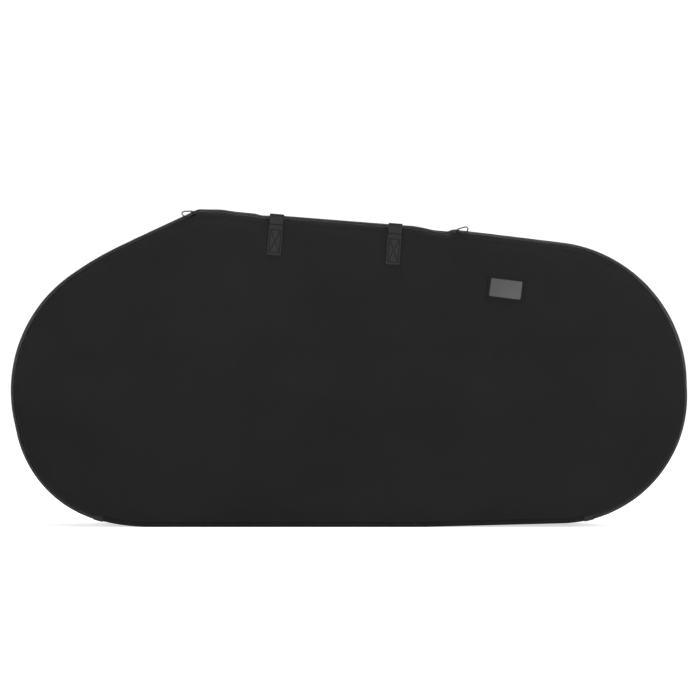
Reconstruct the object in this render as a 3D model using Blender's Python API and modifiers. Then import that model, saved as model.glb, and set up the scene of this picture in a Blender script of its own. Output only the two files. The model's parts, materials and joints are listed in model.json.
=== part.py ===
"""A soft bike travel bag that stands on its base. Its front panel folds down once the zip is undone.

Metres, +Z up. The front panel faces -Y, +X is to the right of someone facing it, and the origin
is on the floor under the middle of the bag.
"""

import math

import bmesh
import bpy
from mathutils import Matrix, Vector

# Overall size of the closed bag
bag_length = 1.750
bag_height = 0.822
bag_depth = 0.200

# Cloth, padding and the clearance between neighbouring layers
cloth = 0.0015
lining = 0.0012
panel_foam = 0.010
gusset_foam = 0.006
base_foam = 0.0037
board = 0.002
gap = 0.0003

# Side view: corners of the outline before rounding, clockwise from the left of the base.
# Each has its x as a share of the length, then its height and its radius as shares of the height.
outline_shares = {
    "base_left": (-0.328, 0.0, 0.623),
    "heel_left": (-0.469, 0.0685, 0.360),
    "end_left": (-0.5255, 0.6275, 0.444),
    "slope_left": (-0.371, 0.853, 1.04),
    "hump": (-0.2235, 1.0, 0.036),
    "saddle": (0.143, 0.9385, 0.365),
    "shoulder_right": (0.492, 0.849, 0.447),
    "toe_right": (0.5025, 0.1905, 0.400),
    "rise_right": (0.365, 0.014, 0.409),
    "base_right": (0.111, 0.0, 2.45),
}
arc_step = math.radians(8.0)
most_trim_share = 0.8
height_halvings = 50

# Rounded edge between the gusset and each panel, and the lip of a panel's cover
edge_round = 0.013
edge_steps = 3
cover_round = 0.0065
binding_width = 0.014
binding = 0.0015

# Zip: it lies on the bevel between the front panel and the gusset
zip_end_height = 0.022
tape = 0.0008
coil_gap = 0.0024
coil_width = 0.0034
coil_height = 0.0030
end_tab_length = 0.026
end_tab = 0.0015

# Zip slider and its wire pull
slider_length = 0.013
slider_half_width = 0.0058
slider_plate = 0.0011
slider_play = 0.0004
crown_length = 0.0095
crown_width = 0.0030
crown_wall = 0.0012
pull_wire = 0.0023
pull_play = 0.0005
pull_length = 0.028
pull_half_width = 0.0098
pull_neck_half_width = 0.0054
pull_lift = math.radians(20.0)
left_slider_from_hump = 0.0085
right_slider_from_saddle = 0.022

# Carry handles: webbing sewn to a panel, with a loop that swings on the panel's top edge
webbing_width = 0.036
webbing = 0.0025
handle_from_hump = 0.350
handle_spread = 0.307
handle_reach = 0.125
handle_bend = 0.050
handle_steps = 6
anchor_length = 0.104

# Clear window for an address card
window_x_share = 0.230
window_z_share = 0.749
window_length = 0.083
window_height = 0.048
window_border = 0.006
window_film = 0.0005
window_frame = 0.0010
window_tilt = math.radians(7.0)

# Tie straps inside, sewn on the back lining
tie_x_shares = (-0.26, 0.0, 0.24)
tie_z_share = 0.43
tie_length = 0.340
tie_width = 0.025
tie_strap = 0.0015
tie_patch = 0.0012
tie_patch_side = 0.045

# Colours as linear red, green and blue
black_cloth = (0.018, 0.018, 0.019)
black_webbing = (0.026, 0.026, 0.027)
grey_lining = (0.060, 0.060, 0.063)
pale_foam = (0.300, 0.300, 0.310)
dark_metal = (0.100, 0.100, 0.105)
clear_film = (0.220, 0.225, 0.230)

# Places that follow from the sizes above
half_depth = bag_depth / 2
panel_stack = cloth + gap + panel_foam + gap + lining
lining_depth = cloth + gap + gusset_foam + gap
panel_inner = half_depth - panel_stack
seam_y = panel_inner - gap + lining_depth
wall_y = seam_y - edge_round
cover_inset = edge_round + gap
zip_inset = edge_round / 2
zip_y = -seam_y + zip_inset
root_half = math.sqrt(0.5)
tape_end = (zip_inset - gap) / root_half - tape
hinge_y = -seam_y - slider_play
hinge_z = cover_inset
handle_y = half_depth + gap + webbing + gap + webbing / 2
handle_out = gap + webbing / 2


def clear_scene():
    for old in list(bpy.data.objects):
        bpy.data.objects.remove(old, do_unlink=True)


def collection(name):
    made = bpy.data.collections.new(name)
    bpy.context.scene.collection.children.link(made)
    return made


class Outline:
    """The rounded side view, measured by its length s from the left end of the flat base, clockwise."""

    def __init__(self):
        self.corners = [
            Vector((x * bag_length, z * bag_height)) for x, z, _ in outline_shares.values()
        ]
        self.radii = [r * bag_height for _, _, r in outline_shares.values()]
        self.runs = []
        self.breaks = []
        self.straight = {}
        self.total = 0.0
        self.trace()

    def turn(self, k):
        """Directions into and out of a corner, and the clockwise angle between them."""
        count = len(self.corners)
        into = (self.corners[k] - self.corners[k - 1]).normalized()
        away = (self.corners[(k + 1) % count] - self.corners[k]).normalized()
        return into, away, into.angle(away)

    def trim(self, k):
        """How far a corner's arc reaches along the sides that meet there."""
        count = len(self.corners)
        into, away, angle = self.turn(k)
        before = (self.corners[k] - self.corners[k - 1]).length
        after = (self.corners[(k + 1) % count] - self.corners[k]).length
        most = min(before, after) * most_trim_share
        return min(self.radii[k] * math.tan(angle / 2), most)

    def trace(self):
        count = len(self.corners)
        trims = [self.trim(k) for k in range(count)]
        for k in range(count):
            nxt = (k + 1) % count
            side = (self.corners[nxt] - self.corners[k]).length
            over = (trims[k] + trims[nxt]) / side
            if over > 1.0:
                trims[k] /= over
                trims[nxt] /= over
        names = list(outline_shares)
        for k in range(count):
            self.add_arc(k, trims[k])
            nxt = (k + 1) % count
            away = (self.corners[nxt] - self.corners[k]).normalized()
            start = self.corners[k] + away * trims[k]
            end = self.corners[nxt] - away * trims[nxt]
            self.straight[names[k]] = (self.total, self.total + (end - start).length)
            self.add_run((end - start).length, 1, "line", start, away)

    def add_arc(self, k, trim):
        into, away, angle = self.turn(k)
        radius = trim / math.tan(angle / 2)
        start = self.corners[k] - into * trim
        outward = Vector((-into.y, into.x))
        centre = start - outward * radius
        steps = max(1, math.ceil(angle / arc_step))
        self.add_run(radius * angle, steps, "arc", centre, (outward, radius))

    def add_run(self, length, steps, kind, place, extra):
        if length > gap:
            self.breaks += [self.total + length * i / steps for i in range(steps)]
        self.runs.append((self.total, self.total + length, kind, place, extra))
        self.total += length

    def at(self, s):
        """The point and the outward direction at s, both in the side view."""
        s %= self.total
        for low, high, kind, place, extra in self.runs:
            if low <= s <= high:
                break
        if kind == "line":
            return place + extra * (s - low), Vector((-extra.y, extra.x))
        outward, radius = extra
        turned = Matrix.Rotation(-(s - low) / radius, 2) @ outward
        return place + turned * radius, turned

    def between(self, start, stop):
        """The lengths at which a strip from start to stop needs a station."""
        inner = []
        for lap in (-1, 0, 1):
            inner += [b + lap * self.total for b in self.breaks]
        keep = [b for b in sorted(inner) if start + gap < b < stop - gap]
        return [start] + keep + [stop]

    def at_height(self, height, low, high):
        """The s between low and high where the outline passes a height."""
        rising = self.at(high)[0].y > self.at(low)[0].y
        for _ in range(height_halvings):
            middle = (low + high) / 2
            if (self.at(middle)[0].y < height) == rising:
                low = middle
            else:
                high = middle
        return (low + high) / 2


outline = Outline()
flat_start = outline.straight["base_right"][0]
zip_start = outline.at_height(
    zip_end_height, outline.straight["base_left"][0], outline.straight["end_left"][0]
)
zip_stop = outline.at_height(
    zip_end_height, outline.straight["shoulder_right"][0], outline.straight["base_right"][0]
)
left_split = outline.straight["slope_left"][0]
right_split = outline.straight["saddle"][1]


def place(s, inset, y):
    """The point at s, moved in from the outline by inset, at depth y."""
    point, outward = outline.at(s)
    inside = point - outward * inset
    return Vector((inside.x, y, inside.y))


def zip_place(across, out):
    """Inset and depth of a point of the zip: across it from front to rear, and out of its tape."""
    return zip_inset - (across + out) * root_half, zip_y + (across - out) * root_half


def material(name, colour, roughness=0.85, metallic=0.0):
    made = bpy.data.materials.new(name)
    made.use_nodes = True
    shader = made.node_tree.nodes["Principled BSDF"]
    shader.inputs["Base Color"].default_value = (*colour, 1.0)
    shader.inputs["Roughness"].default_value = roughness
    shader.inputs["Metallic"].default_value = metallic
    return made


def add_object(name, data, finish, parent=None, matrix=None, group=None):
    """Puts a mesh or curve in the scene under its node's name, with a material of its own."""
    made = bpy.data.objects.new(name, data)
    data.materials.clear()
    data.materials.append(material(name, *finish))
    (group or parts).objects.link(made)
    if matrix is not None:
        made.matrix_world = matrix
    if parent is not None:
        made.parent = parent
        made.matrix_parent_inverse = parent.matrix_world.inverted()
    return made


def empty(name, matrix, parent=None):
    """A joint's place: it sits on the axis, and what moves hangs from it."""
    made = bpy.data.objects.new(name, None)
    parts.objects.link(made)
    made.matrix_world = matrix
    if parent is not None:
        made.parent = parent
        made.matrix_parent_inverse = parent.matrix_world.inverted()
    bpy.context.view_layer.update()
    return made


def strip(name, start, stop, section, finish, parent=None):
    """Extrudes a closed section of (inset, depth) corners along the outline from start to stop."""
    stations = outline.between(start, stop)
    bm = bmesh.new()
    end_face = bm.faces.new([bm.verts.new(place(stations[0], *c)) for c in section])
    start_face = end_face
    for before, after in zip(stations, stations[1:]):
        goals = {place(before, *c).freeze(): place(after, *c) for c in section}
        grown = bmesh.ops.extrude_face_region(bm, geom=[end_face])["geom"]
        if end_face is not start_face:
            bmesh.ops.delete(bm, geom=[end_face], context="FACES_ONLY")
        end_face = next(g for g in grown if isinstance(g, bmesh.types.BMFace))
        for corner in end_face.verts:
            nearest = min(goals, key=lambda old: (old - corner.co).length)
            corner.co = goals[nearest]
    bmesh.ops.recalc_face_normals(bm, faces=bm.faces)
    mesh = bpy.data.meshes.new(name)
    bm.to_mesh(mesh)
    bm.free()
    return add_object(name, mesh, finish, parent)


def flat_shape(name, rings, thickness, finish, parent=None, matrix=None, group=None):
    """A flat outline, with holes where more rings follow, thickened about its own plane."""
    curve = bpy.data.curves.new(name, "CURVE")
    curve.dimensions = "2D"
    curve.fill_mode = "BOTH"
    curve.extrude = thickness / 2
    for ring in rings:
        spline = curve.splines.new("POLY")
        spline.points.add(len(ring) - 1)
        for point, (u, v) in zip(spline.points, ring):
            point.co = (u, v, 0.0, 1.0)
        spline.use_cyclic_u = True
    return add_object(name, curve, finish, parent, matrix, group)


def box_ring(width, height):
    """Corners of a rectangle about its middle."""
    return [
        (-width / 2, -height / 2),
        (width / 2, -height / 2),
        (width / 2, height / 2),
        (-width / 2, height / 2),
    ]


def upright(x, y, z, tilt=0.0):
    """A frame for a flat shape that stands facing the front: u to the right, v up, w to the front."""
    return Matrix.Translation((x, y, z)) @ Matrix.Rotation(math.pi / 2, 4, "X") @ Matrix.Rotation(
        tilt, 4, "Z"
    )


def full_ring(inset):
    """The whole outline moved in by inset, as (x, z). An arc tighter than the inset becomes one corner."""
    ring = []
    mitre_end = None
    for low, high, kind, _, extra in outline.runs:
        if kind == "arc" and extra[1] < inset + gap:
            mitre_end = high
            corner, first = outline.at(low)
            _, last = outline.at(high)
            reach = extra[1] * math.tan(first.angle(last) / 2)
            corner = corner + Vector((first.y, -first.x)) * reach
            ring.append(tuple(corner - (first + last) * (inset / (1 + first.dot(last)))))
            continue
        for s in outline.breaks:
            if low <= s < high and s != mitre_end:
                point, outward = outline.at(s)
                ring.append(tuple(point - outward * inset))
    return ring


def panel_slab(name, inset, near, far, finish, parent=None):
    """A flat layer of a panel between two depths."""
    middle = (near + far) / 2
    return flat_shape(
        name, [full_ring(inset)], abs(far - near), finish, parent, upright(0.0, middle, 0.0)
    )


def panel_cover(name, front, finish, parent=None):
    """The outer cloth of a panel: a flat face whose rounded lip turns in to the seam."""
    side = -1.0 if front else 1.0
    seam = panel_inner + gap + lining
    lip = [(cover_inset, seam)]
    for step in range(edge_steps + 1):
        angle = step / edge_steps * math.pi / 2
        across = cover_inset + cover_round * (1 - math.cos(angle))
        lip.append((across, half_depth - cover_round + cover_round * math.sin(angle)))
    bm = bmesh.new()
    count = len(outline.breaks)
    ring = [bm.verts.new(place(s, lip[0][0], side * lip[0][1])) for s in outline.breaks]
    edges = [bm.edges.new((ring[i - 1], ring[i])) for i in range(count)]
    for (old_inset, old_y), (new_inset, new_y) in zip(lip, lip[1:]):
        goals = {
            place(s, old_inset, side * old_y).freeze(): place(s, new_inset, side * new_y)
            for s in outline.breaks
        }
        grown = bmesh.ops.extrude_edge_only(bm, edges=edges)["geom"]
        edges = [g for g in grown if isinstance(g, bmesh.types.BMEdge)]
        for corner in [g for g in grown if isinstance(g, bmesh.types.BMVert)]:
            nearest = min(goals, key=lambda old: (old - corner.co).length)
            corner.co = goals[nearest]
    bmesh.ops.contextual_create(bm, geom=edges)
    bmesh.ops.recalc_face_normals(bm, faces=bm.faces)
    widest = max(bm.faces, key=lambda face: face.calc_area())
    if widest.normal.y * side < 0.0:
        bmesh.ops.reverse_faces(bm, faces=bm.faces)
    mesh = bpy.data.meshes.new(name)
    bm.to_mesh(mesh)
    bm.free()
    made = add_object(name, mesh, finish, parent)
    wall = made.modifiers.new("Cloth", "SOLIDIFY")
    wall.thickness = cloth
    wall.offset = -1.0
    return made


def panel_layers(label, front, parent=None):
    """Cover, padding, lining and the binding of the seam inside, for the front or the back panel."""
    side = -1.0 if front else 1.0
    face = half_depth - cloth - gap
    panel_cover(f"{label}_cover", front, (black_cloth, 0.85), parent)
    panel_slab(
        f"{label}_foam",
        cover_inset + cover_round + gap,
        side * face,
        side * (face - panel_foam),
        (pale_foam, 0.95),
        parent,
    )
    panel_slab(
        f"{label}_lining",
        cover_inset,
        side * panel_inner,
        side * (panel_inner + lining),
        (grey_lining, 0.80),
        parent,
    )
    flat_shape(
        f"{label}_binding",
        [full_ring(cover_inset), full_ring(cover_inset + binding_width)],
        binding,
        (black_webbing, 0.80),
        parent,
        upright(0.0, side * (panel_inner - gap - binding / 2), 0.0),
    )


def wall_profile(depth, rounded_front, setback=0.0):
    """Corners from front to rear of the gusset's skin at a depth under its outer face."""
    steps = [math.pi / 2 * i / edge_steps for i in range(edge_steps + 1)]
    rear = [
        (
            edge_round - (edge_round - depth) * math.cos(a),
            wall_y + (edge_round - depth) * math.sin(a),
        )
        for a in steps
    ]
    if rounded_front:
        return [(inset, -y) for inset, y in reversed(rear)] + rear
    return [(depth, -wall_y + setback)] + rear


def wall_section(outer, inner, rounded_front, setback=0.0):
    return wall_profile(outer, rounded_front, setback) + wall_profile(
        inner, rounded_front, setback
    )[::-1]


def gusset_cover(name, start, stop, rounded_front):
    """Outer cloth of one strip of the wall that joins the two panels."""
    section = wall_section(0.0, cloth, rounded_front)
    strip(name, start + gap / 2, stop - gap / 2, section, (black_cloth, 0.85))


def gusset_inside(label, start, stop, rounded_front, foam_top, foam):
    """Padding and lining behind the wall's outer cloth."""
    ends = (start + gap / 2, stop - gap / 2)
    strip(
        f"{label}_foam",
        *ends,
        wall_section(foam_top, foam_top + foam, rounded_front, slider_plate),
        (pale_foam, 0.95),
    )
    strip(
        f"{label}_lining",
        *ends,
        wall_section(lining_depth, lining_depth + lining, rounded_front, slider_plate),
        (grey_lining, 0.80),
    )


def gusset(label, start, stop):
    """One strip of the wall beside the zip."""
    gusset_cover(f"{label}_cover", start, stop, False)
    gusset_inside(label, start, stop, False, cloth + gap, gusset_foam)


def base_parts():
    """The wall below the ends of the zip: a flat strip with a curved one sewn on at each end."""
    right = zip_stop - outline.total
    middle = flat_start - outline.total
    gusset_cover("base_corner_cover_right", right, middle, True)
    gusset_cover("base_cover", middle, 0.0, True)
    gusset_cover("base_corner_cover_left", 0.0, zip_start, True)
    gusset_inside("base", right, zip_start, True, lining_depth - gap - base_foam, base_foam)
    low = outline.at(0.0)[0].x
    high = outline.at(flat_start)[0].x
    matrix = Matrix.Translation(((low + high) / 2, 0.0, cloth + gap + board / 2))
    flat_shape(
        "base_board",
        [box_ring(high - low, 2 * wall_y)],
        board,
        (dark_metal, 0.6),
        None,
        matrix,
    )


def zip_section(low_across, high_across, low_out, high_out, side):
    """A rectangle across the zip, on its front half where side is -1 and its rear half where it is 1."""
    corners = [
        (low_across, low_out),
        (high_across, low_out),
        (high_across, high_out),
        (low_across, high_out),
    ]
    return [zip_place(side * across, out) for across, out in corners]


def coil_section(side):
    """Six corners of the flattened coil that stands on a tape."""
    inner = coil_gap / 2
    low = gap
    high = gap + coil_height
    quarter = coil_width / 4
    corners = [
        (inner + quarter, low),
        (inner + 3 * quarter, low),
        (inner + coil_width, (low + high) / 2),
        (inner + 3 * quarter, high),
        (inner + quarter, high),
        (inner, (low + high) / 2),
    ]
    return [zip_place(side * across, out) for across, out in corners]


def zip_halves(lid):
    """Tape and coil of each half of the zip, from one end of the base round to the other."""
    ends = (zip_start + gap, zip_stop - gap)
    for label, side, parent in (("front", -1.0, lid), ("rear", 1.0, None)):
        strip(
            f"{label}_zip_tape",
            *ends,
            zip_section(coil_gap / 2 + gap, tape_end, -tape, 0.0, side),
            (black_webbing, 0.7),
            parent,
        )
        strip(f"{label}_zip_coil", *ends, coil_section(side), (black_webbing, 0.4), parent)


def end_tab_section():
    """A patch that lies outside the rounded front edge of the base."""
    return [
        (inset, y)
        for inset, y in wall_section(-gap - end_tab, -gap, True)
        if y < -wall_y + gap
    ]


def end_tabs():
    """A sewn patch just past each end of the zip."""
    near = gap + tape
    ranges = {
        "zip_end_tab_left": (zip_start - near - end_tab_length, zip_start - near),
        "zip_end_tab_right": (zip_stop + near, zip_stop + near + end_tab_length),
    }
    for name, ends in ranges.items():
        strip(name, *ends, end_tab_section(), (black_webbing, 0.8))


def slider_profile():
    """Section of the slider across the zip: plates over and under the coils, a post between them."""
    low = -tape - slider_play
    high = gap + coil_height + slider_play
    post = coil_gap / 2 - slider_play
    lip = slider_half_width - slider_plate
    return [
        (-lip, low - slider_plate),
        (lip, low - slider_plate),
        (lip, low),
        (post, low),
        (post, high),
        (lip, high),
        (lip, slider_play),
        (slider_half_width, slider_play),
        (slider_half_width, high + slider_plate),
        (-slider_half_width, high + slider_plate),
        (-slider_half_width, high),
        (-post, high),
        (-post, low),
        (-lip, low),
    ]


slider_top = gap + coil_height + slider_play + slider_plate
pull_axis_out = slider_top + pull_play + pull_wire / 2


def crown_rings():
    """The bridge on the slider, seen along its tunnel: its outer shape and the tunnel for the pull."""
    tunnel = pull_wire / 2 + pull_play
    top = pull_axis_out + tunnel + crown_wall
    foot = crown_length / 2
    outer = [
        (-foot, slider_top - slider_plate / 2),
        (foot, slider_top - slider_plate / 2),
        (foot, slider_top + slider_plate),
        (foot - crown_wall, top),
        (crown_wall - foot, top),
        (-foot, slider_top + slider_plate),
    ]
    middle = (slider_top + pull_axis_out + tunnel) / 2
    height = pull_axis_out + tunnel - slider_top
    tunnel_ring = [(u, v + middle) for u, v in box_ring(2 * tunnel, height)]
    return [outer, tunnel_ring]


def as_mesh(source):
    """A filled curve made a mesh of one closed body, so that a Boolean can read it."""
    bpy.context.view_layer.update()
    graph = bpy.context.evaluated_depsgraph_get()
    mesh = bpy.data.meshes.new_from_object(source.evaluated_get(graph))
    bm = bmesh.new()
    bm.from_mesh(mesh)
    bmesh.ops.remove_doubles(bm, verts=bm.verts, dist=gap / 10)
    bmesh.ops.recalc_face_normals(bm, faces=bm.faces)
    bm.to_mesh(mesh)
    bm.free()
    name = source.name
    matrix = source.matrix_world.copy()
    group = source.users_collection[0]
    parent = source.parent
    bpy.data.objects.remove(source, do_unlink=True)
    made = bpy.data.objects.new(name, mesh)
    group.objects.link(made)
    made.matrix_world = matrix
    if parent is not None:
        made.parent = parent
        made.matrix_parent_inverse = parent.matrix_world.inverted()
    return made


def zip_frame(s, direction):
    """Axes at a slider: u along its way to undo or close the zip, v across the zip, w out of the tape."""
    point = place(s, zip_inset, zip_y)
    _, outward = outline.at(s)
    out = Vector((outward.x, 0.0, outward.y))
    along = Vector((outward.y, 0.0, -outward.x)) * direction
    normal = (out - Vector((0.0, 1.0, 0.0))) * root_half
    across = normal.cross(along)
    turned = Matrix((along, across, normal)).transposed().to_4x4()
    return Matrix.Translation(point) @ turned


def pull_points():
    """One turn of the wire: through the crown, out to its widest place and round its far end."""
    neck = pull_neck_half_width
    corner = pull_wire
    shoulder = pull_length - pull_half_width
    side = [(0.0, 0.0), (0.0, neck - corner)]
    side += [(corner * (1 - root_half), neck - corner * (1 - root_half))]
    side += [(corner, neck), ((corner + shoulder) / 2, (neck + pull_half_width) / 2)]
    bow = [math.pi / 2 * i / edge_steps for i in range(edge_steps + 1)]
    side += [
        (shoulder + pull_half_width * math.sin(a), pull_half_width * math.cos(a)) for a in bow
    ]
    return side + [(u, -v) for u, v in reversed(side[1:-1])]


def slider_and_pull(label, s, direction):
    """A slider on the zip, and the wire pull that swings in its crown."""
    frame = zip_frame(s, direction)
    slide = empty(f"slider_{label}_slide", frame)
    across_plane = Matrix(((0, 0, 1), (1, 0, 0), (0, 1, 0))).to_4x4()
    body = flat_shape(
        f"zip_slider_{label}",
        [slider_profile()],
        slider_length,
        (dark_metal, 0.35, 0.9),
        None,
        frame @ across_plane,
    )
    along_plane = Matrix.Rotation(math.pi / 2, 4, "X")
    crown = flat_shape(
        f"crown_{label}",
        crown_rings(),
        crown_width,
        (dark_metal, 0.35, 0.9),
        None,
        frame @ along_plane,
        cutters,
    )
    body = as_mesh(body)
    crown = as_mesh(crown)
    crown.hide_render = True
    crown.display_type = "WIRE"
    join = body.modifiers.new("Crown", "BOOLEAN")
    join.operation = "UNION"
    join.object = crown
    body.parent = slide
    body.matrix_parent_inverse = slide.matrix_world.inverted()
    lifted = (
        frame
        @ Matrix.Translation((0.0, 0.0, pull_axis_out))
        @ Matrix.Rotation(-pull_lift, 4, "Y")
    )
    swing = empty(f"pull_{label}_swing", lifted, slide)
    curve = bpy.data.curves.new(f"zip_pull_{label}", "CURVE")
    curve.dimensions = "3D"
    curve.bevel_depth = pull_wire / 2
    curve.bevel_resolution = 2
    spline = curve.splines.new("POLY")
    points = pull_points()
    spline.points.add(len(points) - 1)
    for point, (u, v) in zip(spline.points, points):
        point.co = (u, v, 0.0, 1.0)
    spline.use_cyclic_u = True
    add_object(f"zip_pull_{label}", curve, (dark_metal, 0.30, 0.9), swing, lifted)


def handle_frame(front):
    """Axes at a handle's hinge: u along the mouth, v up out of it, w to the front of the bag."""
    side = -1.0 if front else 1.0
    middle = outline.straight["hump"][0] + handle_from_hump
    point, outward = outline.at(middle)
    at = point + outward * handle_out
    up = Vector((outward.x, 0.0, outward.y))
    along = Vector((outward.y, 0.0, -outward.x))
    turned = Matrix((along, up, Vector((0.0, -1.0, 0.0)))).transposed().to_4x4()
    return Matrix.Translation((at.x, side * handle_y, at.y)) @ turned


def loop_ring():
    """A handle's loop laid flat: two legs from the hinge, joined by a grip with round bends."""
    half = handle_spread / 2
    bend_v = handle_reach - handle_bend
    bends = [math.pi / 2 * i / handle_steps for i in range(handle_steps + 1)]
    ring = []
    for width, order in ((webbing_width / 2, 1), (-webbing_width / 2, -1)):
        radius = handle_bend + width
        edge = [(half + width, 0.0)]
        edge += [
            (half - handle_bend + radius * math.cos(a), bend_v + radius * math.sin(a))
            for a in bends
        ]
        edge += [(-u, v) for u, v in reversed(edge)]
        ring += edge[::order]
    return ring


def handle(label, front, lid):
    """The two sewn ends of a handle and the loop between them."""
    frame = handle_frame(front)
    parent = lid if front else None
    side = -1.0 if front else 1.0
    sewn_out = side * (half_depth + gap + webbing / 2)
    inward = side * handle_y - sewn_out
    for end, u in (("left", -handle_spread / 2), ("right", handle_spread / 2)):
        middle = Matrix.Translation((u, -handle_out - anchor_length / 2, inward))
        flat_shape(
            f"{label}_handle_anchor_{end}",
            [box_ring(webbing_width, anchor_length)],
            webbing,
            (black_webbing, 0.8),
            parent,
            frame @ middle,
        )
    swing = empty(f"{label}_handle_swing", frame, parent)
    rest = -math.pi / 2 if front else math.pi
    flat_shape(
        f"{label}_handle_loop",
        [loop_ring()],
        webbing,
        (black_webbing, 0.8),
        swing,
        frame @ Matrix.Rotation(rest, 4, "X"),
    )


def address_window(lid):
    """A clear film under a stitched frame, on the front panel."""
    x = window_x_share * bag_length
    z = window_z_share * bag_height
    film_y = -half_depth - gap - window_film / 2
    flat_shape(
        "id_window_film",
        [box_ring(window_length, window_height)],
        window_film,
        (clear_film, 0.2),
        lid,
        upright(x, film_y, z, -window_tilt),
    )
    frame_y = film_y - window_film / 2 - gap - window_frame / 2
    outer = box_ring(window_length + 2 * window_border, window_height + 2 * window_border)
    inner = box_ring(window_length - window_border, window_height - window_border)
    flat_shape(
        "id_window_frame",
        [outer, inner],
        window_frame,
        (black_cloth, 0.8),
        lid,
        upright(x, frame_y, z, -window_tilt),
    )


def tie_straps():
    """Straps on the back lining that hold the bike, each sewn down under a square patch."""
    z = tie_z_share * bag_height
    strap_y = panel_inner - gap - tie_strap / 2
    patch_y = strap_y - tie_strap / 2 - gap - tie_patch / 2
    for number, share in enumerate(tie_x_shares, 1):
        x = share * bag_length
        flat_shape(
            f"tie_strap_{number}",
            [box_ring(tie_width, tie_length)],
            tie_strap,
            (black_webbing, 0.8),
            None,
            upright(x, strap_y, z),
        )
        flat_shape(
            f"tie_patch_{number}",
            [box_ring(tie_patch_side, tie_patch_side)],
            tie_patch,
            (grey_lining, 0.8),
            None,
            upright(x, patch_y, z),
        )


def main():
    lid = empty("lid_fold", Matrix.Translation((0.0, hinge_y, hinge_z)))
    panel_layers("front", True, lid)
    panel_layers("back", False)
    base_parts()
    gusset("left_gusset", zip_start, left_split)
    gusset("top_gusset", left_split, right_split)
    gusset("right_gusset", right_split, zip_stop)
    zip_halves(lid)
    end_tabs()
    hump = outline.straight["slope_left"][1]
    slider_and_pull("left", hump - left_slider_from_hump, -1.0)
    saddle = outline.straight["saddle"][0]
    slider_and_pull("right", saddle + right_slider_from_saddle, 1.0)
    handle("front", True, lid)
    handle("rear", False, lid)
    address_window(lid)
    tie_straps()


clear_scene()
parts = collection("bike_travel_bag")
cutters = collection("cutters")
main()
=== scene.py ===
"""Looks of the soft bike travel bag: cloth, padding, lining, webbing, zip and card window."""

import json
import math

import bmesh
import bpy
import numpy as np
from mathutils import Matrix, Vector, noise
from mathutils.bvhtree import BVHTree

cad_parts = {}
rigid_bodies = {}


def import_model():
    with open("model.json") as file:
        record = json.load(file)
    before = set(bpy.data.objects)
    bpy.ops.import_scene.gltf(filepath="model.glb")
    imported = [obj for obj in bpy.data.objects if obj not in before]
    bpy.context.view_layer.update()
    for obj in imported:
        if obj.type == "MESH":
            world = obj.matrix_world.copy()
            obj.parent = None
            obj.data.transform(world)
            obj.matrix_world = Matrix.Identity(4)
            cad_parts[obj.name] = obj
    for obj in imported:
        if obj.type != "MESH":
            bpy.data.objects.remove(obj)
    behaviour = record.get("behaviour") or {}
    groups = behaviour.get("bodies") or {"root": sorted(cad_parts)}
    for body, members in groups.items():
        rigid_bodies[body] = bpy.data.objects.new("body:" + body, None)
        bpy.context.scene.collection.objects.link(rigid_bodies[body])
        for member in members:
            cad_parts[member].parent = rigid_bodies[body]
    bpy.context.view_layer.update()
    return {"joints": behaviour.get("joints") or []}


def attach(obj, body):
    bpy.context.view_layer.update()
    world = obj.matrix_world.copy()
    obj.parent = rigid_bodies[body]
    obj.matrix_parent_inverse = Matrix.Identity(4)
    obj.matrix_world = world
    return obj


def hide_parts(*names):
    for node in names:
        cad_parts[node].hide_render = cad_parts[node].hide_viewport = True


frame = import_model()

# Size of the closed bag, and the corners of its side view: along, up and radius, the first as a share
# of the length and the others as shares of the height
bag_length = 1.750
bag_height = 0.822
half_depth = 0.100
outline_shares = {
    "base_left": (-0.328, 0.0, 0.623),
    "heel_left": (-0.469, 0.0685, 0.360),
    "end_left": (-0.5255, 0.6275, 0.444),
    "slope_left": (-0.371, 0.853, 1.04),
    "hump": (-0.2235, 1.0, 0.036),
    "saddle": (0.143, 0.9385, 0.365),
    "shoulder_right": (0.492, 0.849, 0.447),
    "toe_right": (0.5025, 0.1905, 0.400),
    "rise_right": (0.365, 0.014, 0.409),
    "base_right": (0.111, 0.0, 2.45),
}
most_trim_share = 0.8
edge_samples = 1500

# Layers, seams and clearances
cloth = 0.0015
lining = 0.0012
gap = 0.0003
edge_round = 0.013
cover_round = 0.0065
lip_round = 0.0042
lip_bands = (0.0, 0.004, 0.008)
cover_inset = edge_round + gap
face_inset = cover_inset + cover_round
panel_seam = 0.0882
panel_inner = 0.0867
panel_foam = 0.010
seam_y = 0.0945
wall_y = seam_y - edge_round
lining_depth = 0.0081
gusset_foam = 0.006
base_foam = 0.0037
inner_edge = 0.0011
foam_set_back = 0.0045
foam_turn = 0.65
binding_width = 0.014
binding = 0.0015
tab_turn = edge_round + gap

# Swell of the padded panels: heights, and the lengths (runs) that they change over
crown = 0.0058
crown_run = 0.085
slack_run = 0.08
long_wave = 0.0015
long_wave_run = 0.40
short_wave = 0.0006
short_wave_run = 0.12
pucker = 0.0011
pucker_run = 0.030
fold_height = 0.449
fold_slope = 0.034
fold_wander = 0.006
fold_wander_run = 0.5
fold_depth = 0.0048
fold_depth_run = 0.20
fold_above = 0.016
fold_below = 0.060
lining_slack = 0.0014

# Settling of the slack cloth
settle_steps = 20
settle_slack = 0.004
settle_pressure = 1.5
settle_cap = 0.003

# Drape of the front edge where the zip is undone, measured from the left or the right slider
mouth_bulge = 0.0034
bulge_from_left = 0.074
bulge_run = 0.034
mouth_dip = 0.0036
dip_from_left = 0.186
dip_run = 0.022
mouth_sag = 0.0088
sag_from_right = 0.125
sag_run = 0.085
sag_stop = 0.012
sag_stop_run = 0.009

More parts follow.
